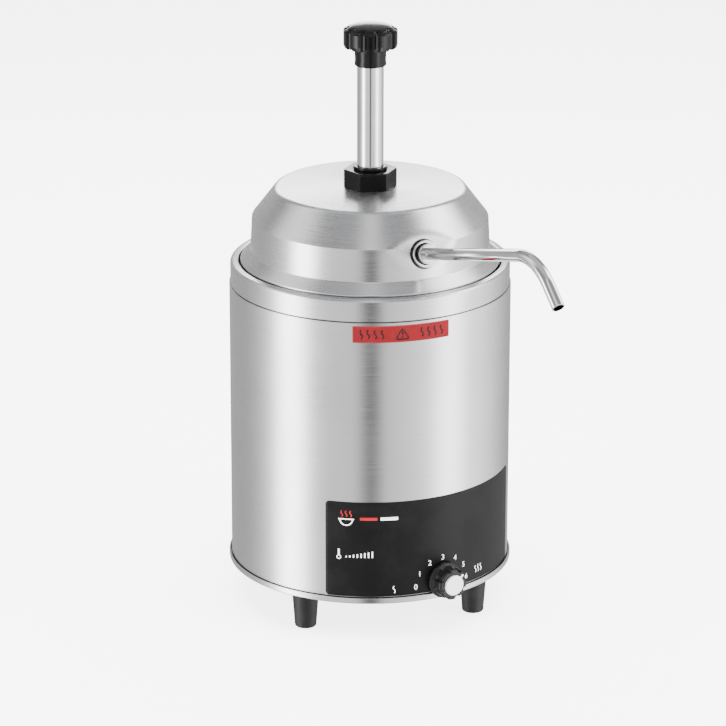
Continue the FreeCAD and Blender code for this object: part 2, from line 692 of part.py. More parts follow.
def make_insulation():
    """A blanket round the well, clear of the wrap."""
    return turned("insulation_jacket", [
        ("well_radius + jacket_gap", "well_bottom"),
        ("well_radius + jacket_gap + jacket_wall", "well_bottom"),
        ("well_radius + jacket_gap + jacket_wall", "wrap_top - shoulder_skirt - jacket_wall"),
        ("well_radius + jacket_gap", "wrap_top - shoulder_skirt - jacket_wall"),
    ])


def make_heat_plate():
    """The plate under the well, with the stud that holds the clamp bar."""
    return turned("heat_plate", [
        ("0", "well_bottom"),
        ("plate_radius", "well_bottom"),
        ("plate_radius", "plate_under"),
        ("stud_radius", "plate_under"),
        ("stud_radius", "stud_foot"),
        ("0", "stud_foot"),
    ])


def make_heating_element():
    """A ring of tube, open at the front, with a terminal leg at each end."""
    ring = doc.addObject("Part::Torus", "element_ring")
    bind(ring, Radius1="coil_radius", Radius2="coil_tube", Angle3="coil_sweep")
    place(ring, z="coil_centre", turn="-90 + (360 - coil_sweep) / 2")
    parts = [ring]
    for side in ("1", "-1"):
        angle = "(-90 + %s * (360 - coil_sweep) / 2)" % side
        ball = doc.addObject("Part::Sphere", "element_bend")
        bind(ball, Radius="coil_tube")
        place(ball, x="coil_radius * cos%s" % angle, y="coil_radius * sin%s" % angle, z="coil_centre")
        leg = cylinder("element_leg", "coil_tube", "coil_leg", x="coil_radius * cos%s" % angle,
                       y="coil_radius * sin%s" % angle, z="coil_centre - coil_leg")
        parts += [ball, leg]
    return fuse("heating_element", parts)


def make_clamp_bar():
    bar = block("clamp_strip", "2 * coil_radius + 4 * coil_tube", "clamp_width", "clamp_thickness",
                x="-coil_radius - 2 * coil_tube", y="-clamp_width / 2", z="clamp_under")
    hole = cylinder("clamp_hole", "stud_radius + sheet_gap", "clamp_thickness * 3",
                    z="clamp_under - clamp_thickness")
    return cut("clamp_bar", bar, [hole])


def make_clamp_nut():
    nut = prism("clamp_nut_blank", "clamp_nut_radius", "clamp_nut_height", z="clamp_under - clamp_nut_height")
    hole = cylinder("clamp_nut_hole", "stud_radius", "clamp_nut_height * 3",
                    z="clamp_under - 2 * clamp_nut_height")
    return cut("clamp_nut", nut, [hole])


def make_thermal_cutoff():
    """A round snap switch against the heat plate, beside the clamp bar."""
    can = cylinder("cutoff_can", "cutoff_radius", "cutoff_height", x="-cutoff_side", y="cutoff_reach",
                   z="plate_under - cutoff_height")
    tabs = [
        block("cutoff_tab", "tab_sheet", "tab_width", "tab_length",
              x="%s * tab_spread - tab_sheet / 2 - cutoff_side" % side, y="cutoff_reach - tab_width / 2",
              z="plate_under - cutoff_height - tab_length")
        for side in ("1", "-1")
    ]
    return fuse("thermal_cutoff", [can] + tabs)


def make_thermostat_body():
    """A switch box behind the wrap, with a threaded bush that comes out through it."""
    box = block("thermostat_box", "thermostat_width", "thermostat_depth", "thermostat_height",
                x="-thermostat_width / 2", y="-thermostat_face", z="dial_height - thermostat_height / 2")
    bush = cylinder("thermostat_bush", "bush_radius", "bush_end - thermostat_face + thermostat_gap",
                    y="-thermostat_face + thermostat_gap", z="dial_height", turn="-90", tip="90")
    bore_start = "(-thermostat_face + shaft_tail + sheet_gap)"
    bore = cylinder("thermostat_bore", "shaft_radius + running_gap",
                    "bush_end + thermostat_gap + %s" % bore_start,
                    y=bore_start, z="dial_height", turn="-90", tip="90")
    return cut("thermostat_body", fuse("thermostat_blank", [box, bush]), [bore])


def make_thermostat_nut():
    nut = prism("bush_nut_blank", "bush_nut_radius", "bush_nut_height", y="-label_radius",
                z="dial_height", turn="-90", tip="90")
    hole = cylinder("bush_nut_hole", "bush_radius", "bush_nut_height * 3",
                    y="-label_radius + bush_nut_height", z="dial_height", turn="-90", tip="90")
    return cut("thermostat_nut", nut, [hole])


def make_feeler_bulb():
    """The feeler: a capillary tube up from the thermostat and a bulb flat under the heat plate."""
    bulb_height = "(plate_under - bulb_radius)"
    start_y = "(-thermostat_face + thermostat_depth - capillary_inset)"
    tube_foot = "(dial_height + thermostat_height / 2)"
    run = "(%s - %s - capillary_bend)" % (bulb_height, tube_foot)
    last = "(-bulb_reach - %s - capillary_bend)" % start_y
    path = bent_path(run, "capillary_bend", "90", last)
    tube = piped("capillary_tube", "capillary_radius", path)
    place(tube, x="bulb_side", y=start_y, z=tube_foot, turn="90")
    bulb = cylinder("bulb_rod", "bulb_radius", "bulb_length", x="bulb_side", y="-bulb_reach", z=bulb_height,
                    turn="90", tip="90")
    return fuse("feeler_bulb", [tube, bulb])


def make_terminal_block():
    """A block with three wells for the wires' screws."""
    blank = block("terminal_block_blank", "block_width", "block_depth", "block_height",
                  x="-block_width / 2", y="block_reach", z="pan_floor")
    wells = [
        cylinder("terminal_well", "terminal_radius", "block_height", x="%s * terminal_pitch" % side,
                 y="block_reach + block_depth / 2", z="pan_floor + block_height / 2")
        for side in ("-1", "0", "1")
    ]
    return cut("terminal_block", blank, wells)


def make_cord_gland():
    """The mains inlet: a flanged bush through the back of the wrap."""
    gland = turned("cord_gland", [
        ("gland_bore", "-gland_neck"),
        ("gland_radius", "-gland_neck"),
        ("gland_radius", "0"),
        ("gland_flange", "0"),
        ("gland_flange", "gland_flange_height"),
        ("gland_bore", "gland_flange_height"),
    ])
    place(gland, y="wrap_radius", z="gland_height", turn="90", tip="90")
    return gland


def make_gland_nut():
    nut_end = "(wrap_inside - gland_nut_gap)"
    nut = prism("gland_nut_blank", "gland_nut_radius", "gland_nut_height",
                y="%s - gland_nut_height" % nut_end, z="gland_height", turn="90", tip="90")
    hole = cylinder("gland_nut_hole", "gland_radius", "gland_nut_height * 3",
                    y="%s - 2 * gland_nut_height" % nut_end, z="gland_height", turn="90", tip="90")
    return cut("gland_nut", nut, [hole])


def make_label(label, arc, turn, foot, height, hole=None):
    """A thin label that follows the wrap, centred at a turn from the front."""
    start = "%s - 90 - %s / 2" % (turn, arc)
    film = cylinder(label + "_film", "label_radius", height, sweep=arc, z=foot, turn=start)
    core = cylinder(label + "_core", "wrap_radius", height, sweep=arc, z=foot, turn=start)
    tools = [core]
    if hole is not None:
        tools.append(hole)
    return cut(label, film, tools)


def make_panel_label():
    hole = cylinder("panel_bush_hole", "bush_radius + sheet_gap", "past_wrap",
                    z="dial_height", turn="-90", tip="90")
    return make_label("panel_label", "panel_arc", "panel_turn",
                      "pan_top + panel_margin", "panel_height", hole)


def make_caution_label():
    return make_label("caution_label", "caution_arc", "caution_turn",
                      "wrap_top - caution_drop - caution_height", "caution_height")


def foot_place(number):
    """Where foot number stands: the rules of its x and y."""
    turn = "(foot_turn + 90 * %d)" % number
    return {"x": "foot_circle * sin%s" % turn, "y": "-foot_circle * cos%s" % turn}


def make_foot(label, number):
    """A tapered rubber foot with a socket below its screw head's seat."""
    foot = turned(label, [
        ("foot_well_radius", "0"),
        ("foot_floor_radius", "0"),
        ("foot_top_radius", "foot_height"),
        ("screw_radius + sheet_gap", "foot_height"),
        ("screw_radius + sheet_gap", "foot_web_foot"),
        ("foot_seat_radius", "foot_web_foot"),
        ("foot_seat_radius", "foot_well_top"),
        ("foot_well_radius", "foot_well_top"),
    ])
    place(foot, **foot_place(number))
    return foot


def make_foot_screws():
    screws = []
    for number in range(FEET):
        screw = turned("foot_screw_%d" % number, [
            ("0", "screw_head_foot"),
            ("screw_head_radius", "screw_head_foot"),
            ("screw_head_radius", "foot_web_foot"),
            ("screw_radius", "foot_web_foot"),
            ("screw_radius", "pan_floor + screw_reach"),
            ("0", "pan_floor + screw_reach"),
        ])
        place(screw, **foot_place(number))
        screws.append(screw)
    return grouped("foot_screws", screws)


def make_foot_nuts():
    nuts = []
    for number in range(FEET):
        where = foot_place(number)
        nut = prism("foot_nut_blank", "screw_head_radius", "foot_nut_height", z="pan_floor", **where)
        hole = cylinder("foot_nut_hole", "screw_radius", "3 * foot_nut_height",
                        z="pan_floor - foot_nut_height", **where)
        nuts.append(cut("foot_nut_%d" % number, nut, [hole]))
    return grouped("foot_nuts", nuts)


# ---------------------------------------------------------------- dial

def place_dial(item, out="0", roll="0"):
    """Stand a piece on the dial's axis, its own Z pointing out of the front."""
    rule = (
        "placement(vector(0; -(%s); %s); rotation(vector(1; 0; 0); 90) * rotation(vector(0; 0; 1); %s))"
    )
    item.setExpression("Placement", formula(rule % (out, "dial_height", roll)))


def make_dial_knob():
    """A skirt and a grooved grip, hollow behind for the bush nut, with a socket for the shaft."""
    knob = turned("dial_knob", [
        ("dial_recess_radius", "0"),
        ("dial_skirt_radius", "0"),
        ("dial_skirt_radius", "dial_skirt_side"),
        ("dial_grip_radius", "dial_skirt_height"),
        ("dial_grip_radius", "dial_grip_height - dial_edge"),
        ("dial_grip_radius - dial_edge", "dial_grip_height"),
        ("0", "dial_grip_height"),
        ("0", "dial_socket"),
        ("shaft_radius", "dial_socket"),
        ("shaft_radius", "dial_recess_depth"),
        ("dial_recess_radius", "dial_recess_depth"),
    ])
    sketch = new_sketch(knob, "dial_flute", "XY_Plane", lift="dial_grip_height")
    turn = "(90 - dial_pointer_turn + 180 / dial_flutes)"
    reach = "(dial_grip_radius + dial_flute_radius - dial_flute_depth)"
    draw_circle(sketch, "dial_flute_radius", "%s * cos%s" % (reach, turn), "%s * sin%s" % (reach, turn))
    flute = drill(knob, "dial_flute_cut", sketch, depth="dial_grip_height - dial_skirt_height")
    repeat_round(knob, "dial_flute_set", flute, "dial_flutes")
    place_dial(knob, out="dial_back")
    return knob


def make_dial_cap():
    cap = turned("dial_cap", [
        ("0", "0"),
        ("dial_cap_radius", "0"),
        ("dial_cap_radius", "dial_cap_side"),
        ("dial_cap_radius - dial_cap_edge", "dial_cap_height"),
        ("0", "dial_cap_height"),
    ])
    place_dial(cap, out="dial_front")
    return cap


def make_dial_pointer():
    """The pointer mark on the face of the grip, from the cap to the edge."""
    pointer = new_body("dial_pointer")
    sketch = new_sketch(pointer, "pointer_outline", "XY_Plane")
    draw(sketch, [
        ("dial_cap_radius", "-pointer_width / 2"),
        ("dial_grip_radius - dial_edge", "-pointer_width / 2"),
        ("dial_grip_radius - dial_edge", "pointer_width / 2"),
        ("dial_cap_radius", "pointer_width / 2"),
    ])
    pad = pointer.newObject("PartDesign::Pad", "pointer_pad")
    pad.Profile = sketch
    bind(pad, Length="pointer_rise")
    doc.recompute()
    place_dial(pointer, out="dial_front", roll="90 - dial_pointer_turn")
    return pointer


def make_dial_shaft():
    shaft = turned("dial_shaft", [
        ("0", "0"),
        ("shaft_radius", "0"),
        ("shaft_radius", "dial_back + dial_socket - thermostat_face + shaft_tail"),
        ("0", "dial_back + dial_socket - thermostat_face + shaft_tail"),
    ])
    place_dial(shaft, out="thermostat_face - shaft_tail")
    return shaft


# ---------------------------------------------------------------- pot

def make_inner_pot():
    pot = turned("inner_pot", [
        ("0", "pot_bottom"),
        ("pot_radius", "pot_bottom"),
        ("pot_radius", "pot_rim_under"),
        ("pot_rim_radius", "pot_rim_under"),
        ("pot_rim_radius", "pot_rim_top"),
        ("pot_inside", "pot_rim_top"),
        ("pot_inside", "pot_floor_top"),
        ("0", "pot_floor_top"),
    ])
    round_circles(pot, "pot_round", [("pot_radius", "pot_bottom")])
    return round_circles(pot, "pot_round - pot_sheet", [("pot_inside", "pot_floor_top")])


# ---------------------------------------------------------------- lid

def cut_facet(body, back):
    """Press the flat for the spout: cut the bulge outside a plane that leans like the spout."""
    run = "(bevel_height + band_height)"
    sketch = new_sketch(body, body.Name + "_facet", "XZ_Plane")
    draw(sketch, [
        ("facet_radius - %s" % back, "facet_height"),
        ("facet_radius + flare_reach + lid_sheet", "facet_height"),
        ("facet_radius + flare_reach + lid_sheet", "facet_height + %s" % run),
        ("facet_radius - %s - %s * tan(spout_rise)" % (back, run), "facet_height + %s" % run),
    ])
    return drill(body, body.Name + "_facet_cut", sketch)


def make_lid_shell():
    """A spun lid: lip, flare, band, bevel and flat, one sheet thick, with the flat for the spout."""
    outside = turned("lid_outside", [
        ("0", "lid_foot"),
        ("lid_rim_radius", "lid_foot"),
        ("lid_rim_radius", "flare_foot"),
        ("band_foot_radius", "band_foot"),
        ("band_top_radius", "bevel_foot"),
        ("flat_radius", "lid_top"),
        ("0", "lid_top"),
    ])
    cut_facet(outside, "0")
    round_circles(outside, "lid_round", [("flat_radius", "lid_top")])
    inside = turned("lid_inside", [
        ("0", "lid_foot - lid_sheet"),
        ("lid_rim_radius - lid_sheet", "lid_foot - lid_sheet"),
        ("lid_rim_radius - lid_sheet", "flare_foot - lid_sheet * tan(flare_half)"),
        ("band_foot_radius - lid_sheet", "band_foot - lid_sheet * tan(flare_half)"),
        ("band_top_radius - lid_sheet", "bevel_foot - lid_sheet * tan(bevel_half)"),
        ("flat_radius - lid_sheet * tan(flat_half)", "lid_under"),
        ("0", "lid_under"),
    ])
    cut_facet(inside, "lid_sheet / cos(spout_rise)")
    round_circles(inside, "lid_round - lid_sheet",
                  [("flat_radius - lid_sheet * tan(flat_half)", "lid_under")])
    for body in (outside, inside):
        place(body, turn="spout_turn - 90")
    pump_hole = cylinder("lid_pump_hole", "cylinder_radius + sheet_gap", "lid_sheet * 3",
                         z="lid_under - lid_sheet")
    spout_hole = cylinder("lid_spout_hole", "fitting_radius + sheet_gap", "4 * locknut_height")
    place_spout(spout_hole, along="-2 * locknut_height")
    return cut("lid_shell", outside, [inside, pump_hole, spout_hole])


def place_spout(item, along="0"):
    """Stand a piece on the spout's axis, its own Z pointing out, some way along from the flat."""
    reach = "(seat_radius + (%s) * cos(spout_rise))" % along
    place(item, x="%s * sin(spout_turn)" % reach, y="-%s * cos(spout_turn)" % reach,
          z="seat_height + (%s) * sin(spout_rise)" % along, turn="spout_turn - 90", tip="90 - spout_rise")


def make_lid_washer():
    """The silicone washer between the cylinder's flange and the lid."""
    return turned("lid_washer", [
        ("cylinder_radius + sheet_gap", "flange_top"),
        ("cylinder_flange", "flange_top"),
        ("cylinder_flange", "lid_under"),
        ("cylinder_radius + sheet_gap", "lid_under"),
    ])


def make_spout_fitting():
    """A flanged barrel through the lid that both tubes end in."""
    back = "-(lid_sheet + seal_sheet)"
    fitting = turned("spout_fitting", [
        ("spout_radius", "-fitting_inside"),
        ("fitting_radius", "-fitting_inside"),
        ("fitting_radius", "%s - fitting_step" % back),
        ("fitting_flange", "%s - fitting_step" % back),
        ("fitting_flange", back),
        ("fitting_radius", back),
        ("fitting_radius", "fitting_outside"),
        ("spout_radius", "fitting_outside"),
        ("spout_radius", "tube_stop / 2"),
        ("spout_radius - spout_wall", "tube_stop / 2"),
        ("spout_radius - spout_wall", "-tube_stop / 2"),
        ("spout_radius", "-tube_stop / 2"),
    ])
    place_spout(fitting)
    return fitting


def make_spout_ring(label, radius, bore, foot, height, edge):
    """A ring round the spout's axis with a chamfered outer edge."""
    ring = turned(label, [
        (bore, foot),
        (radius, foot),
        (radius, "%s + %s - %s" % (foot, height, edge)),
        ("%s - %s" % (radius, edge), "%s + %s" % (foot, height)),
        (bore, "%s + %s" % (foot, height)),
    ])
    place_spout(ring)
    return ring


def make_spout_tube():
    """The spout: a rising run, one bend down and a short straight end, open all through."""
    path = bent_path("(spout_run - tube_stop / 2)", "spout_bend", "spout_drop", "spout_tail")
    wall = piped("spout_wall_bar", "spout_radius", path)
    bore = piped("spout_bore_bar", "spout_radius - spout_wall", path)
    for bar in (wall, bore):
        place_spout(bar, along="tube_stop / 2")
    return cut("spout_tube", wall, [bore])


# ---------------------------------------------------------------- pump

def make_pump_cylinder():
    """The cylinder: socketed in the valve body, flanged under the lid, threaded above it."""
    return turned("pump_cylinder", [
        ("cylinder_inside", "stop_top"),
        ("cylinder_radius", "stop_top"),
        ("cylinder_radius", "flange_under"),
        ("cylinder_flange", "flange_under"),
        ("cylinder_flange", "flange_top"),
        ("cylinder_radius", "flange_top"),
        ("cylinder_radius", "cylinder_top"),
        ("cylinder_inside", "cylinder_top"),
    ])


def make_hex_nut():
    """The cap nut that clamps the lid to the cylinder."""
    blank = prism("hex_nut_blank", "nut_flat / 2 / cos(30)", "nut_height", z="lid_top", turn="nut_turn - 90")
    thread = cylinder("hex_nut_thread", "nut_bore", "cylinder_thread + thread_relief", z="lid_top")
    mouth = cylinder("hex_nut_mouth", "guide_radius", "nut_height * 2", z="lid_top")
    return cut("hex_nut", blank, [thread, mouth])


def make_rod_guide():
    """The stepped collar in the nut that the plunger tube runs through."""
    bore = "rod_radius + running_gap"
    return turned("rod_guide", [
        (bore, "guide_foot"),
        ("guide_radius", "guide_foot"),
        ("guide_radius", "nut_top"),
        ("guide_flange", "nut_top"),
        ("guide_flange", "guide_top - guide_edge"),
        ("guide_flange - guide_edge", "guide_top"),
        (bore, "guide_top"),
    ])


def make_valve_body():
    """A cup on the cylinder's foot with the inlet, joined to a boss with the outlet."""
    boss = {"x": "riser_reach * sin(spout_turn)", "y": "-riser_reach * cos(spout_turn)"}
    cup = cylinder("valve_cup", "valve_radius", "valve_top - pump_foot", z="pump_foot")
    post = cylinder("valve_boss", "boss_radius", "riser_foot + riser_socket - pump_foot",
                    z="pump_foot", **boss)
    web = block("valve_web", "riser_reach", "web_width", "outlet_rise + web_rise",
                x="-web_width / 2 * cos(spout_turn)", y="-web_width / 2 * sin(spout_turn)",
                z="pump_foot", turn="spout_turn - 90")
    inlet = cylinder("valve_inlet", "inlet_radius", "valve_floor * 2", z="pump_foot - valve_floor / 2")
    chamber = cylinder("valve_chamber", "chamber_radius", "stop_under - inlet_seat", z="inlet_seat")
    stop_seat = cylinder("valve_stop_seat", "cylinder_radius", "valve_top - stop_under + stop_sheet",
                         z="stop_under")
    outlet = cylinder("valve_outlet", "outlet_radius", "outlet_seat - port_height + ball_lift",
                      z="port_height", **boss)
    tube_bore = cylinder("valve_tube_bore", "outlet_bore",
                         "riser_foot + riser_socket - outlet_seat + ball_lift", z="outlet_seat", **boss)
    port = cylinder("valve_port", "port_radius", "riser_reach", z="port_height",
                    turn="spout_turn - 90", tip="90")
    return cut("valve_body", fuse("valve_blank", [cup, post, web]),
               [inlet, chamber, stop_seat, outlet, tube_bore, port])


def make_ball_stop():
    """The holed plate over the inlet ball, which the spring stands on."""
    return turned("ball_stop", [
        ("inlet_radius", "stop_under"),
        ("cylinder_radius", "stop_under"),
        ("cylinder_radius", "stop_top"),
        ("inlet_radius", "stop_top"),
    ])


def make_riser_tube():
    """From the outlet boss up beside the cylinder, round a bend and out to the spout's fitting."""
    run = "(riser_corner - riser_tangent - riser_foot)"
    path = bent_path(run, "riser_bend", "(90 - spout_rise)", "(riser_slant - tube_stop / 2)")
    wall = piped("riser_wall_bar", "spout_radius", path)
    bore = piped("riser_bore_bar", "spout_radius - spout_wall", path)
    for bar in (wall, bore):
        place(bar, x="riser_reach * sin(spout_turn)", y="-riser_reach * cos(spout_turn)", z="riser_foot",
              turn="spout_turn - 90")
    return cut("riser_tube", wall, [bore])


def make_ball(label, radius, height, reach="0"):
    ball = doc.addObject("Part::Sphere", label)
    ball.Label = label
    bind(ball, Radius=radius)
    place(ball, x="(%s) * sin(spout_turn)" % reach, y="-(%s) * cos(spout_turn)" % reach, z=height)
    doc.recompute()
    return ball


def make_return_spring():
    """A round wire wound between the ball stop and the piston."""
    spring = new_body("return_spring")
    section = new_sketch(spring, "spring_section", "XZ_Plane")
    draw_circle(section, "spring_wire", "spring_radius", "spring_foot + spring_wire")
    doc.recompute()
    coil = spring.newObject("PartDesign::AdditiveHelix", "spring_coil")
    coil.Profile = section
    coil.ReferenceAxis = (section, ["V_Axis"])
    coil.Mode = "height-turns-angle"
    bind(coil, Height="spring_length - 2 * spring_wire", Turns="spring_turns")
    doc.recompute()
    return spring


# ---------------------------------------------------------------- plunger

def make_plunger_tube():
    return turned("plunger_tube", [
        ("rod_inside", "piston_top"),
        ("rod_radius", "piston_top"),
        ("rod_radius", "knob_foot"),
        ("rod_inside", "knob_foot"),
    ])


def make_foot_plug():
    """The plug in the tube's foot, with the stem that the piston is held on."""
    return turned("foot_plug", [
        ("0", "stem_foot"),
        ("stem_radius", "stem_foot"),
        ("stem_radius", "piston_top"),
        ("rod_inside", "piston_top"),
        ("rod_inside", "piston_top + plug_length"),
        ("0", "piston_top + plug_length"),
    ])


def make_head_plug():
    """The plug in the tube's head that the knob's insert screws into."""
    return turned("head_plug", [
        ("insert_radius", "knob_foot - cap_plug_length"),
        ("rod_inside", "knob_foot - cap_plug_length"),
        ("rod_inside", "knob_foot"),
        ("insert_radius", "knob_foot"),
    ])


def make_knob_insert():
    """The threaded stud moulded into the knob."""
    return turned("knob_insert", [
        ("0", "knob_foot - cap_plug_length"),
        ("insert_radius", "knob_foot - cap_plug_length"),
        ("insert_radius", "knob_foot - cap_plug_length + insert_length"),
        ("0", "knob_foot - cap_plug_length + insert_length"),
    ])


def make_piston():
    return turned("piston", [
        ("stem_radius", "piston_foot"),
        ("piston_radius", "piston_foot"),
        ("piston_radius", "seal_foot"),
        ("piston_radius - seal_depth", "seal_foot"),
        ("piston_radius - seal_depth", "seal_foot + seal_width"),
        ("piston_radius", "seal_foot + seal_width"),
        ("piston_radius", "piston_top"),
        ("stem_radius", "piston_top"),
    ])


def make_piston_seal():
    return turned("piston_seal", [
        ("piston_radius - seal_depth", "seal_foot"),
        ("cylinder_inside - running_gap / 2", "seal_foot"),
        ("cylinder_inside - running_gap / 2", "seal_foot + seal_width"),
        ("piston_radius - seal_depth", "seal_foot + seal_width"),
    ])


def make_piston_nut():
    nut = prism("piston_nut_blank", "stem_nut_radius", "stem_nut_height", z="piston_foot - stem_nut_height")
    hole = cylinder("piston_nut_hole", "stem_radius", "stem_nut_height * 3",
                    z="piston_foot - 2 * stem_nut_height")
    return cut("piston_nut", nut, [hole])


def make_plunger_knob():
    """A neck and a domed head with lobes round its rim."""
    dome_radius = "((knob_radius ^ 2 + knob_dome ^ 2) / 2 / knob_dome)"
    socket = "knob_foot - cap_plug_length + insert_length"
    knob = turned("plunger_knob", [
        ("insert_radius", "knob_foot"),
        ("knob_neck_radius", "knob_foot"),
        ("knob_neck_radius", "knob_shelf"),
        ("knob_radius", "knob_shelf"),
        ("knob_radius", "knob_shoulder", dome_radius, "left"),
        ("0", "knob_top"),
        ("0", socket),
        ("insert_radius", socket),
    ])
    sketch = new_sketch(knob, "knob_flute", "XY_Plane", lift="knob_top")
    turn = "(knob_lobe_turn - 90 + 180 / knob_lobes)"
    reach = "(knob_radius + knob_flute_radius - knob_flute_depth)"
    draw_circle(sketch, "knob_flute_radius", "%s * cos%s" % (reach, turn), "%s * sin%s" % (reach, turn))
    flute = drill(knob, "knob_flute_cut", sketch, depth="knob_dome + knob_rim + seat_gap")
    repeat_round(knob, "knob_flute_set", flute, "knob_lobes")
    return knob


# ---------------------------------------------------------------- all the pieces

def make_pieces():
    """Make every sub-part and return them in the order of assembly."""
    pan = make_base_pan()
    drill_base_pan(pan)
    corners = ("front_right", "rear_right", "rear_left", "front_left")
    feet = [make_foot("foot_" + corner, number) for number, corner in enumerate(corners)]
    pieces = feet + [
        make_foot_screws(),
        make_foot_nuts(),
        pan,
        make_outer_wrap(),
        make_shoulder_ring(),
        make_water_well(),
        make_insulation(),
        make_heat_plate(),
        make_heating_element(),
        make_clamp_bar(),
        make_clamp_nut(),
        make_thermal_cutoff(),
        make_thermostat_body(),
        make_thermostat_nut(),
        make_feeler_bulb(),
        make_terminal_block(),
        make_cord_gland(),
        make_gland_nut(),
        make_panel_label(),
        make_caution_label(),
        make_dial_knob(),
        make_dial_cap(),
        make_dial_pointer(),
        make_dial_shaft(),
        make_inner_pot(),
        make_lid_shell(),
        make_lid_washer(),
        make_spout_fitting(),
        make_spout_ring("spout_washer", "locknut_radius", "fitting_radius", "-lid_sheet - seal_sheet",
                        "seal_sheet", "washer_edge"),
        make_spout_ring("spout_locknut", "locknut_radius", "fitting_radius", "0",
                        "locknut_height", "locknut_edge"),
        make_spout_ring("spout_collar", "collar_radius", "fitting_radius", "locknut_height",
                        "collar_height", "collar_edge"),
        make_spout_tube(),
        make_pump_cylinder(),
        make_hex_nut(),
        make_rod_guide(),
        make_valve_body(),
        make_ball_stop(),
        make_riser_tube(),
        make_return_spring(),
        make_ball("inlet_ball", "inlet_ball_radius", "inlet_ball_height"),
        make_ball("outlet_ball", "outlet_ball_radius", "outlet_ball_height", "riser_reach"),
        make_plunger_tube(),
        make_foot_plug(),
        make_head_plug(),
        make_knob_insert(),
        make_piston(),
        make_piston_seal(),
        make_piston_nut(),
        make_plunger_knob(),
    ]
    return pieces


def check(pieces):
    """Stop if any object failed or any sub-part is empty or broken."""
    doc.recompute()
    for item in doc.Objects:
        if "Invalid" in item.State or "Error" in item.State:
            raise RuntimeError("%s failed: %s" % (item.Name, item.State))
    for piece in pieces:
        if piece.Shape.isNull() or not piece.Shape.isValid() or not piece.Shape.Solids:
            raise RuntimeError(piece.Label + " has no sound solid")


def write(pieces):
    os.makedirs("parts", exist_ok=True)
    for piece in pieces:
        piece.Shape.exportStep("parts/%s.step" % piece.Label)


sizes = fill_sheet()
all_pieces = make_pieces()
check(all_pieces)
write(all_pieces)
print(len(all_pieces), "sub-parts, top at", round(value("knob_top"), 1))
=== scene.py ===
import json
import math

import bmesh
import bpy
import numpy as np
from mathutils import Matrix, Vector


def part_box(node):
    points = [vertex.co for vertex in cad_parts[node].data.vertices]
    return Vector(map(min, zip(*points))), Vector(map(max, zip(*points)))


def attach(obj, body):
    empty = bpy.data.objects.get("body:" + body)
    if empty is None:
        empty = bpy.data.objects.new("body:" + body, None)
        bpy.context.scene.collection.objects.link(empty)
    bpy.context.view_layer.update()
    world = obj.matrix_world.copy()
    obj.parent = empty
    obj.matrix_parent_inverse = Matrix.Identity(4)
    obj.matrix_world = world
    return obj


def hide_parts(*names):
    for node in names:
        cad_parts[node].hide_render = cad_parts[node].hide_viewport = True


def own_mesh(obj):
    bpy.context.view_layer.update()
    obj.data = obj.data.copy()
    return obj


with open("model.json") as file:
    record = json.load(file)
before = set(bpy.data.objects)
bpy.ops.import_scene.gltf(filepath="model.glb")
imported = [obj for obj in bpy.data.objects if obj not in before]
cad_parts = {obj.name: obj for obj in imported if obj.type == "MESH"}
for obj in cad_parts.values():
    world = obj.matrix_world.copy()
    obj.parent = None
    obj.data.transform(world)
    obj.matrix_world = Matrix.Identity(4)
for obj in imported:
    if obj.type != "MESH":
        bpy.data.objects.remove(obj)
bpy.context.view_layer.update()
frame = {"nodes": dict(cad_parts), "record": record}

# A heated sauce dispenser: a brushed steel warmer, a lift-out pot, and a lid with a hand pump, its
# spout and its plunger. Lengths here are millimetres until a mesh is made. "Turn" is an angle in
# degrees read from above, from the front (-Y) towards the right (+X).

METRES = 0.001
AROUND = 256


# ---------------------------------------------------------------- sizes read from the frame

def extent(node):
    """Lowest and highest corner of a CAD node, in millimetres."""
    low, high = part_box(node)
    return np.array(low) / METRES, np.array(high) / METRES


def reach_of(node):
    """Radius of a round node that stands on the Z axis."""
    low, high = extent(node)
    return (high[0] - low[0]) / 2


def foot_of(node):
    return extent(node)[0][2]


def top_of(node):
    return extent(node)[1][2]


WRAP = reach_of("outer_wrap")
WRAP_FOOT = foot_of("outer_wrap")
WRAP_TOP = top_of("outer_wrap")
WRAP_SHEET = 0.8
CAN_SHEET = 0.8
RECESS = reach_of("water_well")
LID_RIM = reach_of("lid_shell")
LID_FOOT = foot_of("lid_shell")
LID_TOP = top_of("lid_shell")
DIAL_HEIGHT = (foot_of("dial_knob") + top_of("dial_knob")) / 2
DIAL_BACK = extent("dial_knob")[1][1]

# the cans inside, inwards from the recess for the lid
WELL_FLANGE = 8.0
LEDGE = 8.8
POT_CLEARANCE = 5.5

# the pump where it goes through the lid
LID_HOLE = 16.1
BARREL = 16.0
NUT_OPENING = 12.4
NUT_DISH = 0.6

# the spun lid, from its foot up
LIP = 6.2
FLARE_UP = 8.3
FLARE_IN = 8.1
BAND_UP = 26.4
BAND_IN = 1.3
BEVEL_UP = 25.0
BEVEL_IN = 19.1
LID_SHEET = 1.0

# the spout
SPOUT_TURN = -4.0
SPOUT_RISE = 15.0
SPOUT_SEAT = 19.5
FACET_FOOT = 7.2
SPOUT_RUN = 157.3
SPOUT_BEND = 51.0
SPOUT_DROP = 56.0
SPOUT_TAIL = 19.7
SPOUT_RADIUS = 5.0
SPOUT_WALL = 0.9
RISER_REACH = 31.0
RISER_BEND = 22.0
TUBE_STOP = 1.2


# ---------------------------------------------------------------- meshes from arrays

